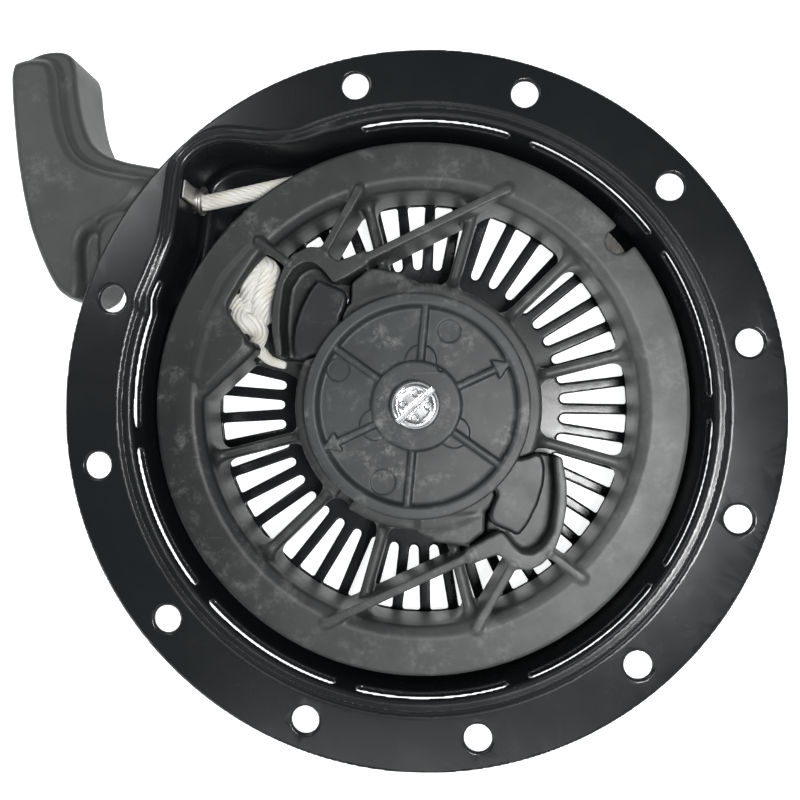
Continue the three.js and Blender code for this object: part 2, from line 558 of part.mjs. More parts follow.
function makeRopePull() {
  const points = [4, 24, 44.4].map((along) => OUTLET.clone().addScaledVector(pullAxis, along));
  return bar(points, ROPE_RADIUS, 3);
}

function makeHandleKnot() {
  return turnedOnPullLine([
    [0, 45.2], [4.5, 45.2], [6.4, 46.8], [6.6, 49], [5.4, 50.8], [5.8, 52.2], [4.4, 54], [0, 54.4],
  ], 16);
}

// Handle outline seen along the reel's axis: stem, inner side, far end, outer side, near end
const HANDLE_OUTLINE = [
  [-88, 85.4], [-96, 86.9], [-104.5, 88.8], [-111.5, 91.6], [-116, 95.6], [-118.6, 101.5], [-120.2, 108],
  [-121.4, 116], [-121.9, 124.5], [-123.3, 130.2], [-127.4, 133.2], [-134.5, 132], [-141.4, 127.6], [-143.8, 120.6],
  [-143.4, 111], [-142.4, 99.8], [-141.2, 88.7], [-139.2, 76.8], [-136.5, 65], [-132.7, 54.7],
  [-129.2, 47.2], [-125.6, 41.2], [-119.6, 38.4], [-114.6, 40.6], [-112.4, 46], [-112.4, 53], [-113.2, 60.6],
  [-111.6, 66.2], [-106.4, 69], [-98, 70], [-88, 71.2],
];

function makeHandle() {
  const lowest = HANDLE_MID_Z - GRIP_HALF_DEPTH;
  const highest = HANDLE_MID_Z + GRIP_HALF_DEPTH;
  const bevel = 3;
  const grip = prism(grown(HANDLE_OUTLINE, -bevel), lowest, highest)
    .add(prism(grown(HANDLE_OUTLINE, -bevel * 0.3), lowest + bevel * 0.3, highest - bevel * 0.3))
    .add(prism(HANDLE_OUTLINE, lowest + bevel, highest - bevel));
  const nose = turnedOnPullLine([[0, 6], [8.5, 6], [10, 7.6], [17, 23], [75, 24], [75, 90], [0, 90]], 32);
  const ropeHole = turnedOnPullLine([[0, 0], [3.5, 0], [3.5, 50], [0, 50]], 12);
  const chamber = turnedOnPullLine([
    [0, KNOT_CHAMBER_START], [KNOT_CHAMBER_RADIUS, KNOT_CHAMBER_START], [KNOT_CHAMBER_RADIUS, 80], [0, 80],
  ], 20);
  return grip.intersect(nose).subtract(ropeHole).subtract(chamber);
}

function makeHandleInsert() {
  return turnedOnPullLine([[3.5, 42.3], [7.6, 42.3], [7.6, 45.6], [7, 45.6], [6.9, 43.2], [3.5, 43.2]], 20);
}

function makeHandleCap() {
  return turnedOnPullLine([[0, 55], [7.6, 55], [7.6, 58], [6.8, 58.6], [0, 58.6]], 20);
}

function makeScrew() {
  const top = GUIDE_BOSS_Z + 6.1;
  const foot = GUIDE_BOSS_Z + 1.7;
  const body = turned([
    [0, 17], [SCREW_SHANK_RADIUS - 0.6, 17], [SCREW_SHANK_RADIUS, 17.8], [SCREW_SHANK_RADIUS, foot],
    [SCREW_HEAD_RADIUS, foot], [SCREW_HEAD_RADIUS, top - 1.6], [SCREW_HEAD_RADIUS - 1.4, top - 0.2],
    [SCREW_HEAD_RADIUS - 3, top], [0, top],
  ], 24);
  return body.subtract(wall(polar(9, 222), polar(9, 42), 2, top - 1.8, top + 1));
}

const object = new THREE.Group();

function place(name, look, manifold) {
  const mesh = new THREE.Mesh(geometryOf(manifold), new THREE.MeshStandardMaterial(look));
  mesh.name = name;
  object.add(mesh);
}

const pawl = makePawl();
const pawlSpring = makePawlSpring();
place("housing", STEEL_BLACK, makeHousing());
place("rope_eyelet", ZINC, makeEyelet());
place("eyelet_flange", ZINC, makeEyeletFlange());
place("centre_post", ZINC, makePost());
place("post_rivet", ZINC, makeRivet());
place("recoil_spring", SPRING_STEEL, makeRecoilSpring());
place("spring_cover", SPRING_STEEL, ring(14.5, SPRING_CUP_RADIUS - 0.3, POST_FOOT_Z - 0.1, POST_FOOT_Z + 0.7, 32));
place("reel", REEL_GREY, makeReel());
place("reel_bushing", BRONZE, ring(POST_RADIUS + 0.3, JOURNAL_BORE_RADIUS - 0.3, SPRING_CUP_TOP_Z, HUB_TOP_Z, 24));
place("thrust_washer", SPRING_STEEL, ring(POST_RADIUS + 0.4, THRUST_WASHER_RADIUS, HUB_TOP_Z + 0.2, HUB_TOP_Z + 0.9, 24));
place("rope_coil", ROPE_WHITE, makeRopeCoil());
place("rope_knot", ROPE_WHITE, makeRopeKnot());
place("rope_lead", ROPE_WHITE, makeRopeLead());
place("rope_pull", ROPE_WHITE, makeRopePull());
place("pawl_a", GUIDE_GREY, pawl);
place("pawl_b", GUIDE_GREY, opposite(pawl));
place("pawl_spring_a", SPRING_STEEL, pawlSpring);
place("pawl_spring_b", SPRING_STEEL, opposite(pawlSpring));
place("ratchet_guide", GUIDE_GREY, makeGuide());
place("friction_spring", SPRING_STEEL, makeFrictionSpring());
place("centre_screw", ZINC, makeScrew());
place("lock_washer", ZINC, ring(SCREW_HOLE_RADIUS, 7.4, GUIDE_BOSS_Z + 0.3, GUIDE_BOSS_Z + 1.4, 20));
place("handle_grip", HANDLE_GREY, makeHandle());
place("handle_insert", ZINC, makeHandleInsert());
place("handle_cap", HANDLE_GREY, makeHandleCap());
place("handle_knot", ROPE_WHITE, makeHandleKnot());

export default object;
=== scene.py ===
"""Looks of the recoil starter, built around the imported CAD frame.

The moulded, pressed and turned pieces are carved on a grid of distances, in millimetres, and
skinned. That gives every edge and fillet its real rounding. The rope is a skin of twisted yarns.
"""

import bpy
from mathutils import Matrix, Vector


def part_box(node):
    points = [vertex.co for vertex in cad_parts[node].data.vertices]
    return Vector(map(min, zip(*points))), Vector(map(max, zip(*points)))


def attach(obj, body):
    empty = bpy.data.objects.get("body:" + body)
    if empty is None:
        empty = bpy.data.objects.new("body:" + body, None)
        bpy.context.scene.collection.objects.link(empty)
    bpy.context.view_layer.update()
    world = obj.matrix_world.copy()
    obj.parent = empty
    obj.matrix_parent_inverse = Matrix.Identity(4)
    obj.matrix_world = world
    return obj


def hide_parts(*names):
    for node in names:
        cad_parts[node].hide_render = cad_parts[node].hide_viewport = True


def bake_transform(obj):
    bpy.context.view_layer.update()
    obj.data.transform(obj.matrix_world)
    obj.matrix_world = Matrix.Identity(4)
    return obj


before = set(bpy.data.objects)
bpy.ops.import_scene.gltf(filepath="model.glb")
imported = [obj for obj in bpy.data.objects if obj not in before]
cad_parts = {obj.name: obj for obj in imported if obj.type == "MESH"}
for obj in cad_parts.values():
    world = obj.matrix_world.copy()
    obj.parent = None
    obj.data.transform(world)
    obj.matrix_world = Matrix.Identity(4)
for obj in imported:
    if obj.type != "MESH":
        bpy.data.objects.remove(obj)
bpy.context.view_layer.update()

import itertools
import math

import bpy
import numpy as np
from mathutils import Quaternion, Vector

MM = 0.001
COARSE = 1.0


def box_mm(node):
    """Lowest and highest corner of a CAD node, in millimetres."""
    low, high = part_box(node)
    return np.array(low) / MM, np.array(high) / MM


def polar(radius, degrees):
    return (radius * math.cos(math.radians(degrees)), radius * math.sin(math.radians(degrees)))


def new_object(name, data):
    thing = bpy.data.objects.new(name, data)
    bpy.context.scene.collection.objects.link(thing)
    return thing


# ---- camera

CAMERA_PLACE = (0.0136, -0.0028, 0.3121)
CAMERA_TURN_DEG = Vector((2.09, 4.18, -0.68))
CAMERA_FOCAL_MM = 36.73
CAMERA_SHIFT = (0.0039, -0.0199)


def make_camera():
    data = bpy.data.cameras.new("camera")
    data.lens = CAMERA_FOCAL_MM
    data.sensor_width = 36.0
    data.shift_x, data.shift_y = CAMERA_SHIFT
    data.clip_start = 0.01
    camera = new_object("camera", data)
    camera.location = CAMERA_PLACE
    camera.rotation_mode = "QUATERNION"
    turn = math.radians(CAMERA_TURN_DEG.length)
    camera.rotation_quaternion = Quaternion(CAMERA_TURN_DEG.normalized(), turn)
    bpy.context.scene.camera = camera


make_camera()

# ---- dimensions from the frame, in mm

housing_high = box_mm("housing")[1]
reel_low, reel_high = box_mm("reel")
guide_low, guide_high = box_mm("ratchet_guide")
pawl_low, pawl_high = box_mm("pawl_a")
screw_high = box_mm("centre_screw")[1]
grip_low, grip_high = box_mm("handle_grip")

SHEET = 2.0
FLANGE_TOP = housing_high[2]
FLANGE_RADIUS = housing_high[0]
WALL_TOP_RADIUS = 97.6
WALL_FOOT_RADIUS = 94.6
BOLT_COUNT = 11
BOLT_PITCH_DEG = 30.0
BOLT_FIRST_DEG = 160.0
BOLT_CIRCLE_RADIUS = 110.0
BOLT_HOLE_RADIUS = 4.5
AIR_SLOT_COUNT = 45
AIR_SLOT_FIRST_DEG = 2.6
AIR_SLOT_RADII = (52.3, 76.6)
AIR_SLOT_BAR = 4.0
WINDOW_COUNT = 9
WINDOW_FIRST_DEG = 168.6
WINDOW_PITCH_DEG = 34.6
WINDOW_SPAN_DEG = 30.6
WINDOW_BOTTOM = 32.5
WINDOW_TOP = 37.2
WINDOW_CORNER = 2.1
RIM_STEP_WIDTH = 3.2
RIM_STEP_DEPTH = 1.3
BULGE_FLOOR = 11.0
OUTLET = np.array((-81.6, 76.3, 22.0))
PULL_DEG = 172.5
PULL = np.array((*polar(1.0, PULL_DEG), 0.0))
ACROSS_PULL = np.array((-PULL[1], PULL[0], 0))
UP = np.array((0, 0, 1.0))
BULGE_OUTLINE = [
    (-20, 60), (-26, 92.6), (-33.5, 90), (-49, 89.8), (-64, 92), (-71.5, 90.3), (-77, 86.6),
    (-79.5, 82.8), (-81.9, 64.6), (-83, 57.4), (-87.2, 47.4), (-92.2, 36), (-60, 20),
]

ROPE_RADIUS = 2.9
OUTER_TURN_RADIUS = 87.1
INNER_TURN_RADIUS = 81.3
LOW_TURN_Z = 18.8
HIGH_TURN_Z = 25.1
LEAD_Z = 18.9
COIL_DEG = 1026.0

REEL_RADIUS = reel_high[0]
RIB_TOP_Z = reel_high[2]
RING_FACE_Z = RIB_TOP_Z - 0.8
GROOVE_RADIUS = 77.6
GROOVE_BOTTOM_Z = 15.5
GROOVE_TOP_Z = 28.5
RING_INNER_RADIUS = 75.2
RING_FOOT_Z = 9.0
HUB_RADIUS = 43.0
HUB_TOP_Z = 29.8
PAWL_BED_Z = 25.0
HUB_FOOT_Z = reel_low[2]
SPRING_CUP_RADIUS = 39.6
SPRING_CUP_TOP_Z = 20.5
BORE_RADIUS = 8.3
SPOKE_TOP_Z = 24.4
SPOKE_WIDTH = 3.9
SPOKE_FIRST_DEG = 13.5
SPOKE_PITCH_DEG = 30.0
SPOKES = (0, 1, 2, 3, 6, 7, 8, 9, 11)
REEL_NOTCH_DEG = 38.5
HUB_NOTCH_DEG = 231.0
POCKET_FLOOR_Z = 20.5
KNOT_FLOOR_Z = 14.0
PIVOT = (-28.4, 38.4)
PAWL_SPRING_RADIUS = 6.4
PAWL_THICKNESS = 5.1
PEG = (-24.5, 21.0)
PEG_RADIUS = 1.6
PAWL_SWING_DEG = 10.0
GUIDE_LAG_DEG = 24.0
PIN_RADIUS = 2.6
PIN_TOP_Z = 28.8

GUIDE_RADIUS = guide_high[0]
GUIDE_FOOT_Z = guide_low[2]
GUIDE_RIM_Z = 37.0
GUIDE_FLOOR_Z = 33.8
GUIDE_BOSS_RADIUS = 15.2
GUIDE_BOSS_Z = guide_high[2]
GUIDE_RIB_COUNT = 6
GUIDE_RIB_FIRST_DEG = 24.0
GUIDE_RIB_WIDTH = 2.4
GUIDE_ARROW_DEG = 7.0
PEG_GROOVE_WIDTH = 3.9

SCREW_TOP_Z = screw_high[2]
SCREW_HEAD_HEIGHT = 4.4
SCREW_SLOT_DEG = 42.0

GRIP_RIDGE_DEPTH = 5.0
GRIP_FACE_SHIFT = (-5.2, -4.0)

# ---- distances to shapes

FAR = 60.0


class Shape:
    """A solid told by the distance to its surface, negative inside, and the box it stays in."""

    def __init__(self, distance, low, high):
        self.distance = distance
        self.low = np.array(low, float)
        self.high = np.array(high, float)

    def turned(self, degrees):
        """The same solid turned about the Z axis."""
        cos, sin = polar(1.0, degrees)
        corners = [
            (cos * x - sin * y, sin * x + cos * y)
            for x in (self.low[0], self.high[0])
            for y in (self.low[1], self.high[1])
        ]
        return Shape(
            lambda x, y, z: self.distance(cos * x + sin * y, cos * y - sin * x, z),
            *box_round(corners, self.low[2], self.high[2]),
        )


def box_round(corners, bottom, top):
    """Lowest and highest corner of the upright box round some places."""
    xs, ys = zip(*corners)
    return (min(xs), min(ys), bottom), (max(xs), max(ys), top)


def outline_distance(x, y, outline):
    """Distance in a plane to a closed outline."""
    nearest = np.full(np.broadcast_shapes(x.shape, y.shape), 1e9)
    inside = np.zeros(nearest.shape, bool)
    for (ax, ay), (bx, by) in zip(outline, outline[1:] + outline[:1]):
        ex, ey = bx - ax, by - ay
        px, py = x - ax, y - ay
        along = np.clip((px * ex + py * ey) / (ex * ex + ey * ey), 0, 1)
        nearest = np.minimum(nearest, (px - ex * along) ** 2 + (py - ey * along) ** 2)
        crosses = (ay > y) != (by > y)
        inside ^= crosses & (px < ex * py / (ey or 1e-9))
    return np.where(inside, -1.0, 1.0) * np.sqrt(nearest)


def upright(flat, z, bottom, top, rounding):
    """A flat distance raised between two heights, with rounded rims."""
    across = flat + rounding
    along = np.abs(z - (bottom + top) / 2) - (top - bottom) / 2 + rounding
    outside = np.hypot(np.maximum(across, 0), np.maximum(along, 0))
    return np.minimum(np.maximum(across, along), 0) + outside - rounding


def with_neighbours(points):
    """Each point of a closed outline with the one before and the one after it."""
    return zip(points[-1:] + points[:-1], points, points[1:] + points[:1])


def rounded(outline, radius, steps=4):
    """The outline with its corners cut to curves that start a radius away, or half an edge."""
    if not radius:
        return list(outline)
    points = [np.array(p, float) for p in outline]
    result = []
    for before, corner, after in with_neighbours(points):
        back, on = before - corner, after - corner
        start = corner + back * min(0.49, radius / np.linalg.norm(back))
        end = corner + on * min(0.49, radius / np.linalg.norm(on))
        for t in np.linspace(0, 1, steps + 1):
            result.append(tuple((1 - t) ** 2 * start + 2 * t * (1 - t) * corner + t * t * end))
    return result


def prism(outline, bottom, top, rounding=0.5, corner=0.6):
    soft = rounded(outline, corner)
    return Shape(
        lambda x, y, z: upright(outline_distance(x, y, soft), z, bottom, top, rounding),
        *box_round(soft, bottom, top),
    )


def post(centre, radius, bottom, top, rounding):
    cx, cy = centre
    return Shape(
        lambda x, y, z: upright(np.hypot(x - cx, y - cy) - radius, z, bottom, top, rounding),
        (cx - radius, cy - radius, bottom),
        (cx + radius, cy + radius, top),
    )


def wall(start, end, width, bottom, top, rounding):
    """An upright wall with round ends between two points."""
    (ax, ay), (bx, by) = start, end
    ex, ey = bx - ax, by - ay
    half = width / 2

    def distance(x, y, z):
        along = np.clip(((x - ax) * ex + (y - ay) * ey) / (ex * ex + ey * ey), 0, 1)
        flat = np.hypot(x - ax - ex * along, y - ay - ey * along) - half
        return upright(flat, z, bottom, top, min(rounding, half * 0.95))

    low = (min(ax, bx) - half, min(ay, by) - half, bottom)
    high = (max(ax, bx) + half, max(ay, by) + half, top)
    return Shape(distance, low, high)


def radial_wall(inner, outer, degrees, width, bottom, top, rounding):
    """An upright wall that runs outwards at an angle."""
    return wall(polar(inner, degrees), polar(outer, degrees), width, bottom, top, rounding)


def rectangle(left, right, bottom, top):
    return [(left, bottom), (right, bottom), (right, top), (left, top)]


def lathe(profile, rounding):
    """A body turned about the Z axis. A profile that reaches past the axis is solid there."""
    soft = rounded(profile, rounding)
    radii, heights = zip(*soft)
    reach = max(radii)

    def distance(x, y, z):
        radius = np.hypot(x, y)[:, :, 0]
        steps = np.arange(0, radius.max() + 0.2, 0.1)
        levels = z.reshape(-1)
        table = outline_distance(steps[:, None], levels[None, :], soft)
        layers = [np.interp(radius, steps, table[:, k]) for k in range(levels.size)]
        return np.stack(layers, axis=2)

    return Shape(distance, (-reach, -reach, min(heights)), (reach, reach, max(heights)))


def lathe_on_pull(profile, rounding):
    """A body turned about the pull line: [radius, distance from the outlet] pairs."""
    soft = rounded(profile, rounding)
    radii, lengths = zip(*soft)
    ends = [OUTLET + PULL * t for t in (min(lengths), max(lengths))]
    reach = max(radii)

    def distance(x, y, z):
        dx, dy, dz = x - OUTLET[0], y - OUTLET[1], z - OUTLET[2]
        along = dx * PULL[0] + dy * PULL[1]
        across = np.hypot(dx * PULL[1] - dy * PULL[0], dz)
        return outline_distance(across, along + 0 * across, soft)

    return Shape(distance, np.min(ends, axis=0) - reach, np.max(ends, axis=0) + reach)


def bore_on_pull(radius, start, end):
    """The space of a round hole along the pull line."""
    return lathe_on_pull(rectangle(-5, radius, start, end), 0)


def soft_min(a, b, blend):
    lower = np.minimum(a, b)
    if not blend:
        return lower
    near = np.maximum(blend - np.abs(a - b), 0) / blend
    return lower - near * near * blend / 4


class Block:
    """A block of space on a regular grid that shapes are added to and cut from."""

    def __init__(self, low, high, pitch):
        self.pitch = pitch * COARSE
        self.low = np.floor(np.array(low, float) / self.pitch - 2.5) * self.pitch
        counts = np.ceil((np.array(high, float) - self.low) / self.pitch + 3).astype(int)
        self.axes = [self.low[i] + self.pitch * np.arange(counts[i]) for i in range(3)]
        self.field = np.full(counts, FAR, np.float32)

    def window(self, shape, blend):
        """The part of the grid round a shape, and the coordinates there."""
        margin = blend + 3 * self.pitch
        first = np.floor((shape.low - margin - self.low) / self.pitch).astype(int)
        last = np.ceil((shape.high + margin - self.low) / self.pitch).astype(int) + 1
        part = tuple(
            slice(max(0, first[i]), max(1, min(self.field.shape[i], last[i]))) for i in range(3)
        )
        x, y, z = (self.axes[i][part[i]] for i in range(3))
        return part, x[:, None, None], y[None, :, None], z[None, None, :]

    def add(self, *shapes, blend=0.0, side=1):
        for shape in shapes:
            part, *place = self.window(shape, blend)
            joined = soft_min(side * self.field[part], shape.distance(*place), blend)
            self.field[part] = side * joined

    def cut(self, *shapes, blend=0.0):
        self.add(*shapes, blend=blend, side=-1)

    def keep(self, shape):
        """Leaves only what lies in the shape as well."""
        x, y, z = self.axes
        limit = shape.distance(x[:, None, None], y[None, :, None], z[None, None, :])
        self.field = np.maximum(self.field, limit)


def round_block(radius, bottom, top, pitch):
    """A block for a body round the reel's axis."""
    return Block((-radius, -radius, bottom), (radius, radius, top), pitch)


# ---- skins and meshes


def skin(block):
    """Points and outward four-sided faces where the block's distance is zero."""
    field, inside = block.field, block.field < 0
    counts = np.array(field.shape) - 1
    filled = np.zeros(counts, np.uint8)
    for i, j, k in itertools.product((0, 1), repeat=3):
        filled += inside[i:i + counts[0], j:j + counts[1], k:k + counts[2]]
    active = (filled > 0) & (filled < 8)
    cells = np.argwhere(active)
    total = np.zeros((len(cells), 3))
    hits = np.zeros(len(cells))
    for axis in range(3):
        step = np.eye(3, dtype=int)[axis]
        for pair in itertools.product((0, 1), repeat=2):
            start = np.insert(np.array(pair), axis, 0)
            a = field[tuple((cells + start).T)]
            b = field[tuple((cells + start + step).T)]
            crossed = (a < 0) != (b < 0)
            share = a[crossed] / (a[crossed] - b[crossed])
            total[crossed] += start + step * share[:, None]
            hits[crossed] += 1
    points = block.low + block.pitch * (cells + total / hits[:, None])
    number = np.full(active.shape, -1, np.int32)
    number[active] = np.arange(len(cells))
    faces = []
    for axis in range(3):
        u, v = (axis + 1) % 3, (axis + 2) % 3
        part = [slice(None)] * 3
        part[axis] = slice(0, -1)
        ahead = [slice(None)] * 3
        ahead[axis] = slice(1, None)
        for other in (u, v):
            part[other] = slice(1, -1)
            ahead[other] = slice(1, -1)
        starts = inside[tuple(part)]
        edges = np.argwhere(starts != inside[tuple(ahead)])
        leaving = starts[tuple(edges.T)]
        corners = []
        for du, dv in ((0, 0), (1, 0), (1, 1), (0, 1)):
            cell = edges.copy()
            cell[:, u] += du
            cell[:, v] += dv
            corners.append(number[tuple(cell.T)])
        quads = np.stack(corners, axis=1)
        quads[~leaving] = quads[~leaving][:, ::-1]
        faces.append(quads)
    return points, np.concatenate(faces)


def piece_of(name, points, faces):
    """A piece from points in millimetres and faces that all have the same number of corners."""
    mesh = bpy.data.meshes.new(name)
    sides = faces.shape[1]
    mesh.vertices.add(len(points))
    mesh.vertices.foreach_set("co", (points * MM).astype(np.float32).ravel())
    mesh.loops.add(faces.size)
    mesh.loops.foreach_set("vertex_index", faces.astype(np.int32).ravel())
    mesh.polygons.add(len(faces))
    mesh.polygons.foreach_set("loop_start", np.arange(0, faces.size, sides, dtype=np.int32))
    mesh.update(calc_edges=True)
    mesh.validate()
    mesh.shade_smooth()
    return new_object(name, mesh)


def carved(name, block, faces_wanted):
    """The block's skin as a piece, thinned where it is flat."""
    points, faces = skin(block)
    piece = piece_of(name, points, faces)
    ratio = faces_wanted / (2.0 * len(faces))
    if ratio < 1:
        piece.modifiers.new("thin", "DECIMATE").ratio = ratio
        depsgraph = bpy.context.evaluated_depsgraph_get()
        mesh = bpy.data.meshes.new_from_object(piece.evaluated_get(depsgraph))
        piece.modifiers.clear()
        full = piece.data
        piece.data = mesh
        bpy.data.meshes.remove(full)
        mesh.shade_smooth()
    piece.modifiers.new("even_shading", "WEIGHTED_NORMAL").weight = 80
    return piece


def cover(piece, material):
    """Gives a piece one finish."""
    piece.data.materials.clear()
    piece.data.materials.append(material)


def finish_piece(piece, body, material, node):
    """Gives a piece its finish and its body, and hides the CAD node that it stands for."""
    cover(piece, material)
    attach(piece, body)
    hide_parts(node)


# ---- materials


class Nodes:
    """Short names for the shader nodes of one material."""

    def __init__(self, name):
        self.material = bpy.data.materials.new(name)
        self.material.use_nodes = True
        self.tree = self.material.node_tree
        self.shader = self.tree.nodes["Principled BSDF"]
        self.place = self.node("TexCoord").outputs["Object"]

    def feed(self, socket, value):
        """Links an input to another node's output, or gives it a fixed value."""
        if isinstance(value, bpy.types.NodeSocket):
            self.tree.links.new(value, socket)
        else:
            socket.default_value = value

    def fill(self, node, **values):
        """Feeds a node's inputs, named with underscores for spaces."""
        for name, value in values.items():
            self.feed(node.inputs[name.replace("_", " ")], value)
        return node

    def node(self, kind, **values):
        return self.fill(self.tree.nodes.new("ShaderNode" + kind), **values)

    def set(self, **values):
        self.fill(self.shader, **values)

    def noise(self, scale, detail, rough=0.5, place=None):
        node = self.node("TexNoise", Scale=scale, Detail=detail, Roughness=rough)
        return self.fill(node, Vector=place or self.place).outputs["Fac"]

    def ramp(self, value, start, end):
        """Black where the value is at the start, white where it is at the end."""
        node = self.node("ValToRGB", Fac=value)
        for element, position, level in zip(node.color_ramp.elements, (start, end), (0.0, 1.0)):
            element.position = position
            element.color = (level, level, level, 1)
        return node.outputs["Color"]

    def mix(self, factor, *colours):
        """The first colour where the factor is 0, and the second where it is 1."""
        node = self.node("Mix")
        node.data_type = "RGBA"
        a, b = ((*c, 1) if isinstance(c, tuple) else c for c in colours)
        return self.fill(node, Factor=factor, A=a, B=b).outputs["Result"]

    def math(self, operation, *values):
        """One number from numbers or, for LENGTH and DOT_PRODUCT, from vectors."""
        vectors = operation in ("LENGTH", "DOT_PRODUCT")
        node = self.node("VectorMath" if vectors else "Math")
        node.operation = operation
        for value, socket in zip(values, node.inputs):
            self.feed(socket, value)
        return node.outputs["Value"]

    def product(self, a, b):
        return self.math("MULTIPLY", a, b)

    def span(self, value, start, end):
        """0 where the value is at the start, 1 where it is at the end."""
        return self.map_range(value, From_Min=start, From_Max=end)

    def map_range(self, value, **limits):
        return self.node("MapRange", Value=value, **limits).outputs["Result"]

    def stretched(self, scale, place=None):
        """The place, scaled by different amounts along the axes."""
        return self.node("Mapping", Scale=scale, Vector=place or self.place).outputs["Vector"]

    def colour(self, output):
        self.set(Base_Color=output)

    def roughness(self, output, low, high):
        """Roughness between two values as the output goes from 0 to 1."""
        self.set(Roughness=self.map_range(output, To_Min=low, To_Max=high))

    def bump(self, height, depth_mm, strength):
        node = self.node("Bump", Distance=depth_mm * MM, Strength=strength, Height=height)
        self.set(Normal=node.outputs["Normal"])


def black_paint():
    """Satin black stoving paint: faint orange peel, cloudy tone and specks of dust."""
    n = Nodes("black_paint")
    dust_and_painted_sheen = n.ramp(n.noise(2600, 2, 0.7), 0.72, 0.82)
    base = n.mix(n.noise(18, 4), (0.0075, 0.009, 0.0105), (0.0125, 0.0145, 0.016))
    n.colour(n.mix(n.product(dust_and_painted_sheen, 0.35), base, (0.09, 0.095, 0.1)))
    n.roughness(n.noise(60, 5, 0.65), 0.18, 0.34)
    n.bump(n.noise(700, 2), 0.02, 0.35)
    n.set(Specular_IOR_Level=0.38, Coat_Weight=0.1, Coat_Roughness=0.18)
    return n.material


def moulded(name, dark, light, rough, scuff, dust_and_painted_sheen=None):
    """Moulded plastic with a fine grain, cloudy wear and pale specks, smudges and scratches. The
    painted sheen colour, if there is one, is a painted highlight on the outer part, thickest on the
    +X side where the light falls."""
    n = Nodes(name)
    clouds = n.ramp(n.noise(35, 5, 0.6), 0.3, 0.72)
    base = n.mix(clouds, dark, light)
    if dust_and_painted_sheen:
        # Painted sheen: the outer ring is paler towards +X, where the light falls, in uneven patches
        outside = n.span(n.math("LENGTH", n.place), 0.043, 0.062)
        side = n.span(n.math("DOT_PRODUCT", n.place, (1.0, -0.25, 0.0)), -0.085, 0.075)
        patchy_painted_sheen = n.product(side, n.span(n.noise(75, 6, 0.7), -0.1, 0.62))
        base = n.mix(n.product(patchy_painted_sheen, outside), base, dust_and_painted_sheen)
    patches = n.ramp(n.noise(55, 4, 0.6), 0.45, 0.62)
    specks = n.ramp(n.noise(1900, 3, 0.75), 0.66, 0.78)
    scratches = n.ramp(n.noise(900, 2, 0.6, n.stretched((0.12, 1.0, 1.0))), 0.7, 0.76)
    smudges = n.ramp(n.noise(150, 8, 0.8), 0.5, 0.62)
    marks = n.math("MAXIMUM", n.product(specks, patches), n.product(scratches, 0.35))
    marks = n.math("MAXIMUM", marks, n.product(smudges, n.product(patches, 0.8)))
    n.colour(n.mix(n.product(marks, scuff), base, (0.2, 0.21, 0.2)))
    n.roughness(n.noise(90, 5, 0.6), rough - 0.09, rough + 0.09)
    n.bump(n.noise(1500, 3, 0.6), 0.03, 0.5)
    return n.material


def rope_fibre(name, clean, shade):
    """Twisted nylon: fine fibres along the yarns, soft and a little shiny, with a faint stain."""
    n = Nodes(name)
    uv = n.node("UVMap").outputs["UV"]
    fibres = n.noise(1.0, 3, 0.6, n.stretched((3.0, 110.0, 1.0), uv))
    stain = n.ramp(n.noise(90, 4, 0.6), 0.45, 0.8)
    n.colour(n.mix(stain, clean, shade))
    n.roughness(fibres, 0.5, 0.8)
    n.bump(fibres, 0.1, 0.6)
    n.set(Sheen_Weight=0.3, Subsurface_Weight=0.08, Subsurface_Scale=0.2,
          Subsurface_Radius=(0.003, 0.0028, 0.0024))
    return n.material


def metal(name, dark, light, rough):
    """Plated or bare metal: cloudy tone, fine grain and uneven gloss."""
    n = Nodes(name)
    n.set(Metallic=1.0)
    n.colour(n.mix(n.noise(160, 5, 0.65), dark, light))
    n.roughness(n.noise(400, 4, 0.6), rough - 0.1, rough + 0.12)
    n.bump(n.noise(1600, 3, 0.6), 0.02, 0.4)
    return n.material


paint = black_paint()
# The reel's nylon carries a painted highlight: paler towards +X on its outer ring
reel_plastic = moulded("reel_nylon", (0.007, 0.009, 0.0095), (0.017, 0.02, 0.02), 0.44, 0.55,
                       dust_and_painted_sheen=(0.1, 0.105, 0.104))
guide_plastic = moulded("guide_acetal", (0.024, 0.028, 0.029), (0.05, 0.056, 0.056), 0.46, 0.9)
pawl_plastic = moulded("pawl_nylon", (0.007, 0.009, 0.01), (0.014, 0.017, 0.018), 0.4, 0.3)
handle_plastic = moulded("handle_moulding", (0.038, 0.042, 0.04), (0.055, 0.059, 0.055), 0.5, 0.35)
# The coil's turns are the same nylon painted dark: painted shade for the rope that lies deep in the
# reel's groove
rope_painted_shade = rope_fibre("rope_in_coil", (0.16, 0.155, 0.14), (0.1, 0.095, 0.08))
rope_white = rope_fibre("rope_nylon", (0.88, 0.87, 0.82), (0.8, 0.74, 0.6))
zinc = metal("zinc_plate", (0.62, 0.64, 0.66), (0.86, 0.87, 0.88), 0.24)
zinc_dull = metal("zinc_dull", (0.55, 0.53, 0.52), (0.8, 0.77, 0.75), 0.42)
spring_steel = metal("spring_steel", (0.2, 0.21, 0.23), (0.4, 0.41, 0.43), 0.34)
bronze = metal("bearing_bronze", (0.42, 0.27, 0.12), (0.62, 0.42, 0.2), 0.36)

# ---- housing


def air_slot(degrees):
    """One radial air slot: round at the narrow end, square at the wide end."""
    inner, outer = AIR_SLOT_RADII
    pitch = 2 * math.pi / AIR_SLOT_COUNT
    narrow = (inner * pitch - AIR_SLOT_BAR) / 2
    wide = (outer * pitch - AIR_SLOT_BAR) / 2
    arc = [polar(narrow, turn) for turn in range(0, 181, 30)]
    round_end = [(inner + narrow - y, x) for x, y in arc]
    outline = [(outer, -wide), (outer, wide), *round_end]
    return prism(outline, -2, SHEET + 2, rounding=0.0, corner=0.7).turned(degrees)


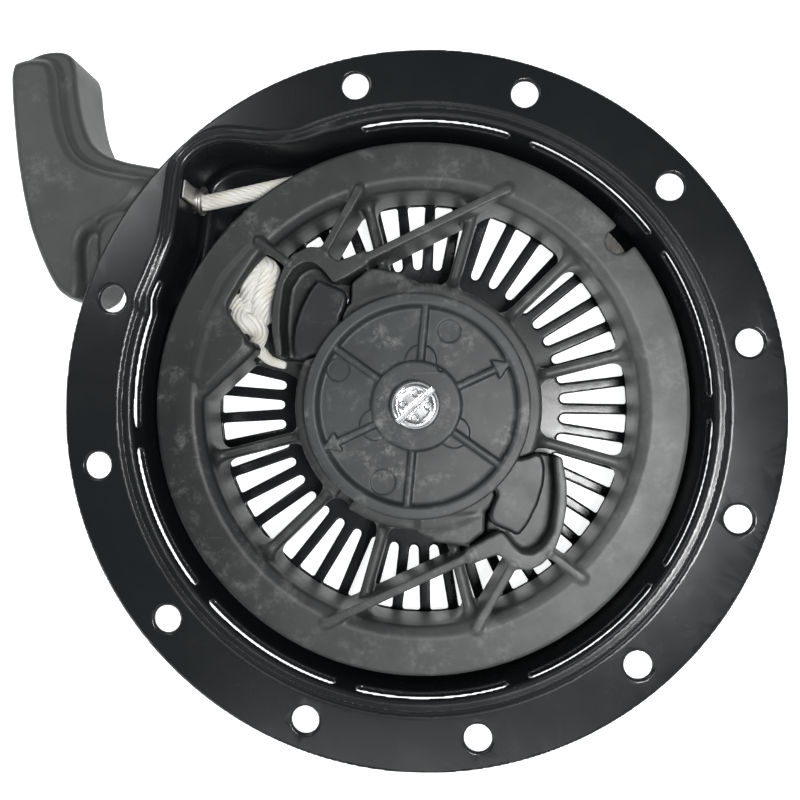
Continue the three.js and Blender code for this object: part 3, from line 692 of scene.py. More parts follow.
def side_window(middle):
    """A long round-ended window in the dish wall."""
    inner, outer = 90, 104
    half_span = WINDOW_SPAN_DEG / 2

    def distance(x, y, z):
        radius = np.hypot(x, y)
        angle = np.degrees(np.arctan2(y, x)) - middle
        angle = (angle + 180) % 360 - 180
        across = np.radians(np.abs(angle) - half_span) * WALL_TOP_RADIUS
        flat = upright(across, z, WINDOW_BOTTOM, WINDOW_TOP, WINDOW_CORNER)
        return np.maximum(flat, np.maximum(inner - radius, radius - outer))

    ends = [polar(radius, middle + turn) for radius in (inner, outer) for turn in (-16, 0, 16)]
    return Shape(distance, *box_round(ends, WINDOW_BOTTOM, WINDOW_TOP))


def grown(outline, distance):
    """The outline with every corner moved outwards."""
    area = sum(ax * by - bx * ay for (ax, ay), (bx, by) in zip(outline, outline[1:] + outline[:1]))
    side = math.copysign(distance, area)
    result = []
    for before, corner, after in with_neighbours(outline):
        back = np.subtract(corner, before) / math.dist(corner, before)
        on = np.subtract(after, corner) / math.dist(corner, after)
        normal = np.array((back[1] + on[1], -back[0] - on[0]))
        normal /= np.linalg.norm(normal)
        stretch = side / max(0.5, normal[0] * back[1] - normal[1] * back[0])
        result.append(tuple(np.add(corner, normal * stretch)))
    return result


def reaching(shape, low=6, high=6):
    """The shape with a wider box, for blends that reach far from it."""
    return Shape(shape.distance, shape.low - low, shape.high + high)


def make_housing():
    block = round_block(FLANGE_RADIUS, 0, FLANGE_TOP, 0.6)
    top = FLANGE_TOP + 20
    step_z = FLANGE_TOP - RIM_STEP_DEPTH
    space = lathe([
        (-9, SHEET), (90, SHEET), (WALL_FOOT_RADIUS, 6), (WALL_TOP_RADIUS, FLANGE_TOP),
        (WALL_TOP_RADIUS, top), (-9, top),
    ], 4.0)
    block.add(reaching(space, 6, 30))
    bulge = prism(BULGE_OUTLINE, BULGE_FLOOR, top, rounding=3.0, corner=5.0)
    block.add(reaching(bulge), blend=4.0)

    # The bend at the flange is pressed in two small steps
    step_radius = WALL_TOP_RADIUS + RIM_STEP_WIDTH
    step = lathe(rectangle(-9, step_radius, step_z, top), 0)
    bulge_step = prism(grown(BULGE_OUTLINE, RIM_STEP_WIDTH), step_z, top, rounding=0.3, corner=5.0)
    block.add(reaching(step), reaching(bulge_step), blend=1.6)
    above = Shape(lambda x, y, z: FLANGE_TOP - z + 0 * (x + y), (-130, -130, 0), (130, 130, 60))
    block.add(above, blend=1.6)
    raised = lathe([(-9, -6), (18.4, -6), (16.5, 1.6), (14.4, SHEET + 2.2), (-9, SHEET + 2.2)], 1.5)
    block.cut(reaching(raised), blend=1.5)

    # The sheet is what lies within its own thickness outside that space
    block.field = np.abs(block.field - SHEET / 2) - SHEET / 2
    block.keep(post((0, 0), FLANGE_RADIUS, -1, FLANGE_TOP, 0.5))

    for i in range(BOLT_COUNT):
        centre = polar(BOLT_CIRCLE_RADIUS, BOLT_FIRST_DEG + BOLT_PITCH_DEG * i)
        block.cut(post(centre, BOLT_HOLE_RADIUS, FLANGE_TOP - 8, FLANGE_TOP + 4, 0), blend=0.5)
    for i in range(AIR_SLOT_COUNT):
        block.cut(air_slot(AIR_SLOT_FIRST_DEG + 360 / AIR_SLOT_COUNT * i), blend=0.5)
    for i in range(WINDOW_COUNT):
        block.cut(side_window(WINDOW_FIRST_DEG + WINDOW_PITCH_DEG * i), blend=0.3)
    block.cut(bore_on_pull(4.7, -6, 6))
    block.cut(post((0, 0), 5, -3, 8, 0))
    piece = carved("housing_pressing", block, 190_000)
    finish_piece(piece, "base", paint, "housing")


make_housing()

# ---- reel

CLAW = [
    (-48.9, 17.6), (-50.4, 27), (-50.2, 34.5), (-48.9, 41.6), (-46.2, 48.6), (-41.8, 53.8),
    (-37.2, 56), (-33.4, 55.6), (-30.5, 53.6), (-27, 50.6), (-22.8, 52), (-17.4, 54.3),
    (-16, 49.4), (-23.8, 45), (-28.4, 42.9), (-32.6, 48.2), (-35, 50.3), (-38.5, 50.6),
    (-42.5, 48.2), (-45.8, 43), (-47, 35), (-47.4, 28), (-46.6, 17.6),
]
POCKET = [
    (-23.4, 44.6), (-28.3, 42.4), (-32.4, 47.8), (-35, 49.9), (-38.4, 50.2), (-42.2, 47.8),
    (-45.4, 42.8), (-46.6, 35), (-47, 28), (-46.2, 17.6), (-37, 16.6), (-25, 32),
]
KNOT_FLOOR = [
    (-46, 47), (-47, 54.5), (-57, 52.5), (-64, 43.5), (-69, 34), (-67, 24), (-62.4, 17.2),
    (-56.5, 14.9), (-48.7, 12.8), (-41, 8.5), (-38, 14), (-42, 20), (-50, 24), (-50.6, 40),
]
KNOT_LIP = [
    (-53.5, 56.5), (-60.8, 45.8), (-66.6, 36.3), (-64.6, 31.2), (-59.4, 24.6), (-60.6, 21),
    (-74.6, 7), (-80, 12), (-76, 30), (-68, 46), (-58, 57),
]
PAWL = [
    (-33.9, 44.9), (-37.2, 41.1), (-40.8, 34.1), (-43, 27.1), (-43.5, 21.5), (-42.6, 17.4),
    (-40.4, 16.3), (-36.8, 18), (-31, 18.6), (-24.6, 17.6), (-21.6, 21), (-23.6, 25.6),
    (-27, 30.5), (-25, 34.4), (-24, 38.2), (-25.6, 41), (-28.6, 42.3), (-31.2, 43.3),
]


def both(*shapes):
    """The shapes and their copies half a turn round."""
    return [*shapes, *(shape.turned(180) for shape in shapes)]


def turned_point(point, degrees, centre=(0, 0)):
    """The point turned about the centre."""
    cos, sin = polar(1.0, degrees)
    dx, dy = point[0] - centre[0], point[1] - centre[1]
    return (centre[0] + dx * cos - dy * sin, centre[1] + dx * sin + dy * cos)


def swung(outline, degrees):
    """The outline turned about the pawl's pivot."""
    return [turned_point(point, degrees, PIVOT) for point in outline]


def make_reel():
    block = round_block(REEL_RADIUS, HUB_FOOT_Z, RIB_TOP_Z, 0.5)
    bottom = GROOVE_BOTTOM_Z - 3
    block.add(lathe([
        (RING_INNER_RADIUS, RING_FOOT_Z), (GROOVE_RADIUS, RING_FOOT_Z), (GROOVE_RADIUS, bottom),
        (REEL_RADIUS, bottom), (REEL_RADIUS, GROOVE_BOTTOM_Z), (GROOVE_RADIUS, GROOVE_BOTTOM_Z),
        (GROOVE_RADIUS, GROOVE_TOP_Z), (REEL_RADIUS, GROOVE_TOP_Z), (REEL_RADIUS, RING_FACE_Z),
        (RING_INNER_RADIUS + 3.4, RING_FACE_Z), (RING_INNER_RADIUS + 0.4, RING_FACE_Z - 2.6),
        (RING_INNER_RADIUS, RING_FACE_Z - 8),
    ], 1.4))
    block.add(lathe(rectangle(-9, HUB_RADIUS, HUB_FOOT_Z, HUB_TOP_Z), 1.6))
    for i in SPOKES:
        degrees = SPOKE_FIRST_DEG + SPOKE_PITCH_DEG * i
        spoke = radial_wall(HUB_RADIUS - 3, RING_INNER_RADIUS + 1, degrees, SPOKE_WIDTH,
                            RING_FOOT_Z, SPOKE_TOP_Z, 1.9)
        block.add(spoke, blend=5.0)
    land = prism([(-22.8, 37), (-22.6, 43.5), (-16, 48.6), (-6, 47), (0, 43.4), (0, 38)],
                 RING_FOOT_Z, HUB_TOP_Z, 1.2, 1.0)
    block.add(*both(land), blend=2.0)
    for share in (0, 0.25, 0.5, 0.75, 1):
        outline = swung(grown(PAWL, 0.5), -share * PAWL_SWING_DEG)
        block.cut(*both(prism(outline, PAWL_BED_Z, RIB_TOP_Z + 4, 0.3, 1.6)), blend=0.3)
    block.add(*both(prism(POCKET, RING_FOOT_Z, POCKET_FLOOR_Z)), blend=1.0)
    block.add(*both(
        wall((-17.2, 51.5), (32.1, 74.2), 3.0, RING_FOOT_Z, RIB_TOP_Z, 0.5),
        wall((-31.6, 54.6), (-19.3, 75.5), 3.0, RING_FOOT_Z, RIB_TOP_Z, 0.5),
        wall((-45.2, 51), (-54.9, 58.4), 2.8, RING_FOOT_Z, RIB_TOP_Z, 0.5),
        prism(CLAW, RING_FOOT_Z, RIB_TOP_Z, 0.5, 1.2),
    ), blend=1.6)

    # Knot recess: its floor, the slanting wall and the lip inside the rim
    block.add(
        prism(KNOT_FLOOR, RING_FOOT_Z, KNOT_FLOOR_Z),
        wall((-59.6, 20.9), (-75.6, 6.5), 5.4, RING_FOOT_Z, RING_FACE_Z - 0.8, 2.4),
        prism(KNOT_LIP, GROOVE_TOP_Z + 0.5, RING_FACE_Z, 1.2, 2.0),
        blend=1.8,
    )
    block.cut(post((-58, 21.6), 4.4, KNOT_FLOOR_Z + 0.2, 20.9, 0.5))

    # The rope's groove, the spring's cup, the pawl springs' spaces and the pins
    block.cut(lathe(rectangle(GROOVE_RADIUS, REEL_RADIUS + 6, GROOVE_BOTTOM_Z, GROOVE_TOP_Z), 0))
    block.cut(post((0, 0), SPRING_CUP_RADIUS, HUB_FOOT_Z - 4, SPRING_CUP_TOP_Z, 0.5))
    round_pivot = post(PIVOT, PAWL_SPRING_RADIUS, POCKET_FLOOR_Z, PAWL_BED_Z + 0.4, 0)
    spring_space = Shape(
        lambda x, y, z: np.maximum(round_pivot.distance(x, y, z), HUB_RADIUS - 8.6 - np.hypot(x, y)),
        round_pivot.low, round_pivot.high,
    )
    block.cut(*both(spring_space), blend=0.3)
    block.add(*both(post(PIVOT, PIN_RADIUS, POCKET_FLOOR_Z - 2, PIN_TOP_Z, 0.5)))
    block.cut(post((0, 0), BORE_RADIUS, 0, HUB_TOP_Z + 4, 0), blend=0.6)

    # A notch in the rim and one in the hub, and the slot that lets the rope in to its knot
    block.cut(radial_wall(REEL_RADIUS - 3, REEL_RADIUS + 6, REEL_NOTCH_DEG, 9, GROOVE_TOP_Z - 3,
                          RING_FACE_Z + 4, 0), blend=1.0)
    block.cut(radial_wall(HUB_RADIUS - 3, HUB_RADIUS + 5, HUB_NOTCH_DEG, 6, HUB_TOP_Z - 9,
                          HUB_TOP_Z + 4, 0), blend=0.6)
    slot = [polar(70, 134), *(polar(78.5, degrees) for degrees in (134, 143, 152)), polar(70, 152)]
    block.cut(prism(slot, GROOVE_BOTTOM_Z + 0.1, GROOVE_TOP_Z - 0.1, 0))
    piece = carved("reel_moulding", block, 190_000)
    finish_piece(piece, "reel", reel_plastic, "reel")


make_reel()

# ---- pawls and guide disc


def make_pawls():
    foot, top = pawl_low[2], pawl_low[2] + PAWL_THICKNESS
    for name, way in (("a", 1), ("b", -1)):
        block = Block(pawl_low - 1, pawl_high + 1, 0.35)
        block.add(prism(PAWL, foot, top, 1.3, 1.6))
        block.add(post(PEG, PEG_RADIUS, top - 1, pawl_high[2], 0.4), blend=0.5)
        block.cut(post(PIVOT, PIN_RADIUS + 0.3, foot - 2, PIN_TOP_Z + 0.4, 0))
        points, faces = skin(block)
        piece = piece_of("pawl_arm_" + name, points * (way, way, 1), faces)
        finish_piece(piece, "pawl_" + name, pawl_plastic, "pawl_" + name)


def peg_seen_from_guide(lag):
    """Where the pawl's peg is, seen from the disc, when the disc lags by this many degrees."""
    swing = -lag * PAWL_SWING_DEG / GUIDE_LAG_DEG
    return turned_point(turned_point(PEG, swing, PIVOT), lag)


def make_guide():
    block = Block(guide_low, guide_high, 0.3)
    block.add(lathe([
        (-9, GUIDE_FOOT_Z), (GUIDE_RADIUS, GUIDE_FOOT_Z), (GUIDE_RADIUS, GUIDE_RIM_Z),
        (GUIDE_RADIUS - 4.2, GUIDE_RIM_Z), (GUIDE_RADIUS - 4.9, GUIDE_FLOOR_Z),
        (GUIDE_BOSS_RADIUS, GUIDE_FLOOR_Z), (GUIDE_BOSS_RADIUS, GUIDE_BOSS_Z), (-9, GUIDE_BOSS_Z),
    ], 1.0))
    below_floor = GUIDE_FLOOR_Z - 1
    for i in range(3):
        pad = post(polar(15.6, 84 + 120 * i), 5.3, below_floor, GUIDE_FLOOR_Z + 0.9, 0.3)
        block.add(pad, blend=0.4)
    for i in range(GUIDE_RIB_COUNT):
        degrees = GUIDE_RIB_FIRST_DEG + 360 / GUIDE_RIB_COUNT * i
        rib = radial_wall(GUIDE_BOSS_RADIUS - 2, GUIDE_RADIUS - 4, degrees, GUIDE_RIB_WIDTH,
                          below_floor, GUIDE_RIM_Z - 0.7, 0.9)
        block.add(rib, blend=0.7)
        if i % 3 == 0:
            corners = ((3.4, 0), (9, GUIDE_ARROW_DEG), (9, -GUIDE_ARROW_DEG))
            arrow = [polar(GUIDE_RADIUS - depth, degrees + turn) for depth, turn in corners]
            block.add(prism(arrow, below_floor, GUIDE_RIM_Z - 0.5, 0.5, 0.4), blend=0.4)

    # Ejector marks, a notch beside the boss, and below: the pegs' grooves, the friction spring's
    # space and the screw's hole
    for centre, radius in (((11.4, 25.3), 3.9), ((-26.9, 12.6), 3.9), ((-11.8, -25.9), 4.3)):
        block.cut(post(centre, radius, GUIDE_FLOOR_Z - 0.4, GUIDE_FLOOR_Z + 3, 0.2), blend=0.25)
    notch = radial_wall(GUIDE_BOSS_RADIUS, GUIDE_BOSS_RADIUS + 4, 56, 2.6, GUIDE_FLOOR_Z + 1,
                        GUIDE_BOSS_Z + 3, 0.2)
    block.cut(notch, blend=0.4)
    below = GUIDE_FOOT_Z - 3
    places = [peg_seen_from_guide(GUIDE_LAG_DEG * i / 6) for i in range(7)]
    for ends in zip(places, places[1:]):
        block.cut(*both(wall(*ends, PEG_GROOVE_WIDTH, below, GUIDE_FOOT_Z + 1.8, 0.1)))
    block.cut(lathe(rectangle(5.4, 12.6, below, GUIDE_BOSS_Z - 1.8), 0.4))
    block.cut(post((0, 0), 3.2, below, GUIDE_BOSS_Z + 3, 0))
    piece = carved("guide_disc", block, 110_000)
    finish_piece(piece, "guide", guide_plastic, "ratchet_guide")


make_pawls()
make_guide()

# ---- centre screw


def make_screw():
    shank_foot = 17
    head_foot = SCREW_TOP_Z - SCREW_HEAD_HEIGHT
    recess_z = SCREW_TOP_Z - 0.5
    radius = screw_high[0]
    block = round_block(radius, shank_foot, SCREW_TOP_Z, 0.16)
    block.add(lathe([
        (-5, shank_foot), (2.3, shank_foot), (2.9, shank_foot + 0.8), (2.9, head_foot + 1),
        (-5, head_foot + 1),
    ], 0.2))
    block.add(lathe([
        (-5, head_foot), (radius, head_foot), (radius, SCREW_TOP_Z - 1.9), (radius - 0.9, recess_z),
        (radius - 2.2, SCREW_TOP_Z), (radius - 3.1, recess_z), (-5, recess_z),
    ], 0.7))
    above = SCREW_TOP_Z + 3
    block.cut(radial_wall(-10, 10, SCREW_SLOT_DEG, 1.9, SCREW_TOP_Z - 2.1, above, 0.1), blend=0.35)
    for i in range(4):
        pit = post(polar(4.1, 90 * i - 3), 1.15, SCREW_TOP_Z - 1.5, above, 0.3)
        block.cut(pit, blend=0.35)
    piece = carved("centre_screw_pan_head", block, 60_000)
    finish_piece(piece, "base", zinc, "centre_screw")


make_screw()

# ---- turned pieces


def turned_piece(name, body, material, node, profile, on_pull_line=False):
    """A ring turned about the reel's axis, or about the pull line, from a closed profile."""
    segments = 96
    soft = rounded(profile, 0.25, 3)
    count = len(soft)
    angles = np.linspace(0, 2 * math.pi, segments, endpoint=False)
    points = np.array([(r * math.cos(a), r * math.sin(a), h) for a in angles for r, h in soft])
    if on_pull_line:
        points = OUTLET + points[:, :1] * ACROSS_PULL + points[:, 1:2] * UP + points[:, 2:] * PULL
    faces = []
    for i, j in itertools.product(range(segments), range(count)):
        here, ahead = i * count, (i + 1) % segments * count
        on = (j + 1) % count
        faces.append((here + j, ahead + j, ahead + on, here + on))
    piece = piece_of(name, points, np.array(faces))
    piece.data.set_sharp_from_angle(angle=math.radians(50))
    finish_piece(piece, body, material, node)


washer_foot = box_mm("lock_washer")[0][2]
cover_foot = box_mm("spring_cover")[0][2]
turned_piece("screw_lock_washer", "base", zinc, "lock_washer",
             rectangle(3.2, 7.4, washer_foot, washer_foot + 1.1))
turned_piece("thrust_ring", "base", spring_steel, "thrust_washer",
             rectangle(6.4, 13, HUB_TOP_Z + 0.2, HUB_TOP_Z + 0.9))
turned_piece("bearing_bush", "reel", bronze, "reel_bushing",
             rectangle(6.3, 8, SPRING_CUP_TOP_Z, HUB_TOP_Z))
turned_piece("spring_retainer", "reel", spring_steel, "spring_cover",
             rectangle(14.5, 39.3, cover_foot, cover_foot + 0.8))
turned_piece("outlet_eyelet_rim", "base", zinc, "eyelet_flange",
             [(4.5, 1.5), (7, 1.5), (7, 2.4), (5.8, 3.4), (4.5, 3.4)], True)
turned_piece("grip_cup", "handle", zinc, "handle_insert",
             [(3.5, 42.3), (7.6, 42.3), (7.6, 45.6), (7, 45.6), (6.9, 43.2), (3.5, 43.2)], True)


def make_eyelet():
    """The sleeve in the outlet, with its lip inside and the plate that lies up the wall."""
    low, high = box_mm("rope_eyelet")
    block = Block(low, high, 0.18)
    block.add(lathe_on_pull([
        (-5, -3.9), (4.4, -4.5), (5.3, -4.1), (5.3, -3.3), (4.2, -3.1), (4.2, 3.4), (-5, 3.4),
    ], 0.3))
    foot = OUTLET - PULL * 1.9
    across = ACROSS_PULL * 2.8
    plate = wall((foot - across)[:2], (foot + across)[:2], 0.8, OUTLET[2] - 4, high[2], 0.3)
    block.add(plate, blend=0.5)
    block.cut(bore_on_pull(3.5, -6, 5), blend=0.4)
    piece = carved("outlet_eyelet", block, 24_000)
    finish_piece(piece, "base", zinc_dull, "rope_eyelet")


make_eyelet()

# The CAD's own pieces that stay in the picture
for node, material in (
    ("centre_post", zinc), ("post_rivet", zinc), ("recoil_spring", spring_steel),
    ("friction_spring", spring_steel), ("pawl_spring_a", spring_steel),
    ("pawl_spring_b", spring_steel), ("handle_cap", handle_plastic),
):
    cover(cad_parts[node], material)

# ---- rope


YARNS = 10
YARN_DEPTH = 0.26
ROPE_LAY_MM = 26.0
PULL_TRAVEL = 1250.0


def ease(t):
    """From 0 to 1 with a soft start and end."""
    return t * t * (3 - 2 * t)


def lengths_along(path):
    """The path's length up to each of its points."""
    steps = np.linalg.norm(np.diff(path[:, :3], axis=0), axis=1)
    return np.concatenate([[0], np.cumsum(steps)])


def smooth_path(points, spacing):
    """Even points along a smooth curve through the given ones, with what else each point holds."""
    control = np.array(points, float)
    control = np.vstack([2 * control[0] - control[1], control, 2 * control[-1] - control[-2]])
    dense = []
    for p0, p1, p2, p3 in zip(control, control[1:], control[2:], control[3:]):
        for t in np.linspace(0, 1, 24, endpoint=False):
            dense.append(0.5 * (2 * p1 + (p2 - p0) * t + (2 * p0 - 5 * p1 + 4 * p2 - p3) * t ** 2
                                + (3 * p1 - p0 - 3 * p2 + p3) * t ** 3))
    dense.append(control[-2])
    dense = np.array(dense)
    length = lengths_along(dense)
    even = np.linspace(0, length[-1], int(length[-1] / spacing) + 1)
    return np.stack([np.interp(even, length, column) for column in dense.T], axis=1)


def frames_along(centres):
    """Two unit vectors across the path at each point, turned as little as possible. The path may
    not start straight up."""
    tangents = np.gradient(centres, axis=0)
    tangents /= np.linalg.norm(tangents, axis=1)[:, None]
    start = np.cross(tangents[0], UP)
    sides = [start / np.linalg.norm(start)]
    for tangent in tangents[1:]:
        side = sides[-1] - tangent * np.dot(sides[-1], tangent)
        sides.append(side / np.linalg.norm(side))
    sides = np.array(sides)
    return sides, np.cross(tangents, sides)


def yarn_outline(angle):
    """Outline of a rope of radius 1: a round of yarns with grooves between them."""
    across = (angle * YARNS / (2 * math.pi) + 0.5) % 1 * 2 - 1
    return 1 - YARN_DEPTH + YARN_DEPTH * np.sqrt(1 - (0.97 * across) ** 2)


def rope_piece(name, centres, radius, along, sides=60):
    """A twisted rope skin along the centres, closed at both ends, with UVs that follow its lay. The
    radius is one number, or one for each centre. The lay goes by the lengths along the rope."""
    count = len(centres)
    twist = along * 2 * math.pi / ROPE_LAY_MM
    side, up = frames_along(centres)
    angles = np.linspace(0, 2 * math.pi, sides, endpoint=False)
    reach = yarn_outline(angles) * np.broadcast_to(radius, count)[:, None]
    ends = np.minimum(np.arange(count), np.arange(count)[::-1])
    scale = np.minimum(0.8 + 0.1 * ends, 1.0)[:, None]
    turn = angles[None, :] + twist[:, None]
    rings = (centres[:, None, :]
             + (scale * reach * np.cos(turn))[:, :, None] * side[:, None, :]
             + (scale * reach * np.sin(turn))[:, :, None] * up[:, None, :])
    points = np.vstack([rings.reshape(-1, 3), centres[:1], centres[-1:]])
    turns = twist / (2 * math.pi)
    faces, uvs = [], []
    for ring, j in itertools.product(range(count - 1), range(sides)):
        here, ahead, on = ring * sides, (ring + 1) * sides, (j + 1) % sides
        faces.append((here + j, here + on, ahead + on, ahead + j))
        left, right = j / sides, (j + 1) / sides
        uvs += [(turns[ring], left), (turns[ring], right)]
        uvs += [(turns[ring + 1], right), (turns[ring + 1], left)]
    last = (count - 1) * sides
    for j in range(sides):
        on = (j + 1) % sides
        faces += [(count * sides, on, j), (count * sides + 1, last + j, last + on)]
        uvs += [(0, 0), (turns[0], on / sides), (turns[0], j / sides)]
        uvs += [(0, 0), (turns[-1], j / sides), (turns[-1], on / sides)]
    mesh = bpy.data.meshes.new(name)
    mesh.from_pydata([tuple(p * MM) for p in points], [], faces)
    mesh.uv_layers.new(name="UVMap").data.foreach_set("uv", np.ravel(uvs))
    mesh.shade_smooth()
    return new_object(name, mesh)


def coil_centres():
    """The turns on the reel, told from how many degrees they are behind the outlet's tangent."""
    reach = math.hypot(OUTLET[0], OUTLET[1])
    tangent = math.degrees(math.atan2(OUTLET[1], OUTLET[0]) - math.acos(OUTER_TURN_RADIUS / reach))
    behind = np.linspace(0, COIL_DEG, 700)
    inwards, down = (ease(np.clip((behind - start) / 40, 0, 1)) for start in (350, 666))
    radius = INNER_TURN_RADIUS + (OUTER_TURN_RADIUS - INNER_TURN_RADIUS) * (1 - inwards)
    height = LOW_TURN_Z + (HIGH_TURN_Z - LOW_TURN_Z) * (1 - down)
    angle = np.radians(tangent - behind)
    return np.stack([radius * np.cos(angle), radius * np.sin(angle), height], axis=1), tangent


# Each point of the knot has its place and the rope's radius there
KNOT = [
    (-55.6, 31.5, 18.5, 2.8), (-56.2, 34.7, 22.2, 3.6), (-55.3, 39.5, 24.3, 3.8),
    (-53.4, 44.5, 24.4, 3.8), (-53.0, 49.2, 24.0, 3.9), (-56.9, 51.0, 23.6, 3.9),
    (-59.6, 47.2, 24.0, 3.9), (-60.2, 42.7, 22.8, 3.8), (-61.0, 38.2, 20.8, 3.6),
    (-63.4, 36.2, 20.0, 3.4), (-64.8, 39.5, 20.3, 3.4), (-65.1, 35.3, 21.2, 3.5),
    (-63.2, 31.5, 22.3, 3.8), (-59.9, 30.0, 22.3, 3.8), (-57.9, 28.0, 20.5, 3.6),
    (-58.6, 24.9, 18.5, 3.1), (-59.7, 22.4, 17.3, 2.6), (-57.4, 20.2, 16.9, 2.2),
    (-54.7, 17.6, 16.9, 1.8), (-51.5, 16.3, 17, 1.6), (-48.5, 15.3, 17.1, 1.4),
]


def make_rope():
    centres, tangent = coil_centres()
    # The turns on the reel get the rope colour with painted shade
    coil = rope_piece("rope_winding", centres, ROPE_RADIUS - 0.05, lengths_along(centres), 36)
    finish_piece(coil, "reel", rope_painted_shade, "rope_coil")

    start = np.array((*polar(OUTER_TURN_RADIUS, tangent), LEAD_Z))
    end = OUTLET + PULL * 3.4
    heading = np.array((end[0] - start[0], end[1] - start[1], 0))
    heading /= np.linalg.norm(heading)
    level = [start + heading * distance for distance in (0.5, 16, 34)]
    in_sleeve = [OUTLET - PULL * distance for distance in (6.5, 2.0)]
    path = smooth_path([*level, *in_sleeve, end], 0.5)
    lead = rope_piece("rope_to_outlet", path, ROPE_RADIUS, lengths_along(path))
    finish_piece(lead, "base", rope_white, "rope_lead")

    path = smooth_path(KNOT, 0.5)
    knot = rope_piece("rope_stop_knot", path[:, :3], path[:, 3], lengths_along(path))
    finish_piece(knot, "reel", rope_white, "rope_knot")


def make_rope_pull():
    """The rope from the outlet to the knot in the handle. It is drawn as it lies when the handle is
    pulled right out, and the stretch inside the stem is pushed together at rest."""
    first, zone_start, zone_end, last = 3.8, 8.0, 38.0, 44.4
    share = np.linspace(0, 1, 4000)
    eased = ease(share)
    rest = zone_start + (zone_end - zone_start) * share
    drawn = rest + PULL_TRAVEL * eased
    zone = np.interp(np.arange(drawn[0], drawn[-1], 4.0), drawn, share)
    zone = zone_start + (zone_end - zone_start) * zone
    before, after = np.arange(first, zone_start, 0.6), np.arange(zone_end, last, 0.6)
    at_rest = np.concatenate([before, zone, after])
    pulled = at_rest + PULL_TRAVEL * np.interp(at_rest, [zone_start, *rest, last], [0, *eased, 1])
    centres = OUTLET + PULL * at_rest[:, None]
    rope = rope_piece("rope_to_handle", centres, ROPE_RADIUS - 0.05, pulled, 36)
    cover(rope, rope_white)
    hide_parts("rope_pull")
    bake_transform(rope)


def make_handle_knot():
    """An overhand knot seen end on: the rope wraps once round itself."""
    path = []
    for i in range(15):
        turn = 2 * math.pi * 1.5 * i / 14
        reach = 3.2 * math.sin(math.pi * min(1, i / 3) / 2)
        middle = OUTLET + PULL * (46.4 + 0.4 * i)
        path.append(middle + ACROSS_PULL * reach * math.cos(turn) + UP * reach * math.sin(turn))
    path = smooth_path(path, 0.6)
    knot = rope_piece("grip_stop_knot", path, 2.7, lengths_along(path), 36)
    finish_piece(knot, "handle", rope_white, "handle_knot")


make_rope()
make_rope_pull()
make_handle_knot()

# ---- handle

# Along the stem's far side, round the grip's inner, far and outer sides, and back along the stem
HANDLE_OUTLINE = [
    (-88, 85.4), (-96, 86.9), (-104.5, 88.8), (-111.5, 91.6), (-116, 95.6), (-118.6, 101.5),
    (-120.2, 108), (-121.4, 116), (-121.9, 123.5), (-123.4, 128), (-127.4, 129.9),
    (-134.5, 129.6), (-141.4, 126.6), (-143.8, 120.6), (-143.4, 111), (-142.4, 99.8),
    (-141.2, 88.7), (-139.2, 76.8), (-136.5, 65), (-132.7, 54.7), (-129.2, 47.2),
    (-125.6, 41.2), (-119.6, 38.4), (-114.6, 40.6), (-112.4, 46), (-112.4, 53),
    (-113.2, 60.6), (-111.6, 66.2), (-106.4, 69), (-98, 70), (-88, 71.2),
]


def make_handle():
    """The grip's outer side has tight edges. Its inner side and stem step down to a lower ridge."""
    foot, top = grip_low[2], grip_high[2]
    full = prism(HANDLE_OUTLINE, foot, top, 2.6, 3.0)
    shift_x, shift_y = GRIP_FACE_SHIFT
    shifted = [(x + shift_x, y + shift_y) for x, y in HANDLE_OUTLINE]
    stepped = prism(shifted, foot, top, 3.6, 3.0)
    face = Shape(
        lambda *place: np.maximum(full.distance(*place), stepped.distance(*place)),
        full.low, full.high,
    )
    block = Block(grip_low, grip_high, 0.45)
    block.add(prism(HANDLE_OUTLINE, foot, top - GRIP_RIDGE_DEPTH, 1.8, 3.0))
    block.add(face, blend=2.5)
    nose = [(-5, 6), (8.5, 6), (10, 7.6), (17, 23), (75, 24), (75, 90), (-5, 90)]
    block.keep(lathe_on_pull(nose, 2.0))
    block.cut(bore_on_pull(3.5, 0, 50), blend=1.0)
    block.cut(bore_on_pull(8, 42, 80), blend=0.8)
    piece = carved("grip_moulding", block, 110_000)
    finish_piece(piece, "handle", handle_plastic, "handle_grip")


make_handle()

# ---- floor, light


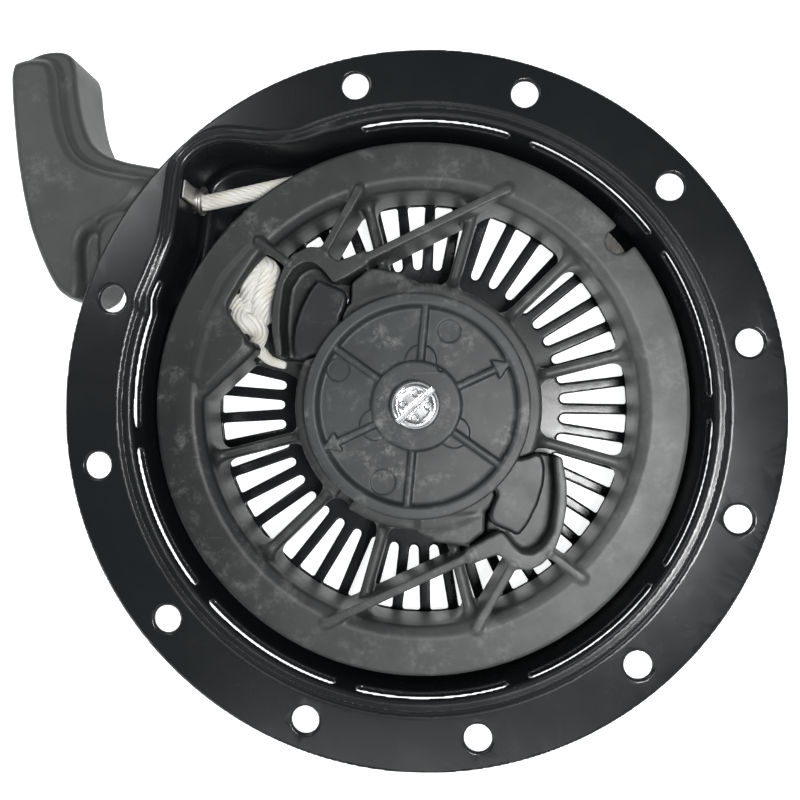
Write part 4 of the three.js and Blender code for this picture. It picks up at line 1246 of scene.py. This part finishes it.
def make_floor():
    mesh = bpy.data.meshes.new("floor")
    size = 3.0
    corners = [(x, y, 0) for x, y in rectangle(-size, size, -size, size)]
    mesh.from_pydata(corners, [], [(0, 1, 2, 3)])
    floor = new_object("floor", mesh)
    n = Nodes("floor_white")
    n.set(Base_Color=(0.9, 0.9, 0.9, 1), Roughness=0.9,
          Emission_Color=(0.97, 1.0, 0.99, 1), Emission_Strength=0.9)
    mesh.materials.append(n.material)
    floor.location.z = -0.0002


def area_light(name, place, target, size, power):
    data = bpy.data.lights.new(name, "AREA")
    data.shape = "RECTANGLE"
    data.size, data.size_y = size
    data.energy = power
    light = new_object(name, data)
    light.location = place
    direction = Vector(target) - Vector(place)
    light.rotation_euler = direction.to_track_quat("-Z", "Y").to_euler()


def make_sky():
    """A room that is bright low down and dark overhead."""
    world = bpy.data.worlds.new("studio")
    bpy.context.scene.world = world
    world.use_nodes = True
    tree = world.node_tree
    place = tree.nodes.new("ShaderNodeTexCoord")
    split = tree.nodes.new("ShaderNodeSeparateXYZ")
    ramp = tree.nodes.new("ShaderNodeValToRGB")
    stops = [(0.0, 0.9), (0.22, 0.75), (0.42, 0.2), (0.7, 0.07), (1.0, 0.09)]
    for _ in stops[2:]:
        ramp.color_ramp.elements.new(1.0)
    for element, (position, level) in zip(ramp.color_ramp.elements, stops):
        element.position = position
        element.color = (0.93 * level, 0.98 * level, level, 1)
    tree.links.new(place.outputs["Generated"], split.inputs["Vector"])
    tree.links.new(split.outputs["Z"], ramp.inputs["Fac"])
    tree.links.new(ramp.outputs["Color"], tree.nodes["Background"].inputs["Color"])
    tree.nodes["Background"].inputs["Strength"].default_value = 1.0


def make_light():
    make_sky()
    area_light("softbox_key", (0.13, -0.055, 0.53), (0.05, -0.02, 0.02), (0.1, 0.1), 1.9)
    area_light("softbox_handle", (-0.35, 0.28, 0.53), (-0.1, 0.08, 0.03), (0.2, 0.16), 0.9)
    area_light("softbox_near", (-0.02, -0.36, 0.5), (0, 0, 0), (0.4, 0.15), 0.4)
    area_light("softbox_right", (0.62, -0.42, 0.42), (0, 0, 0), (0.5, 0.5), 0.5)
    area_light("softbox_left", (-0.55, -0.45, 0.3), (0, 0, 0), (0.5, 0.3), 1.2)
    bpy.context.scene.view_settings.view_transform = "Standard"


make_floor()
make_light()
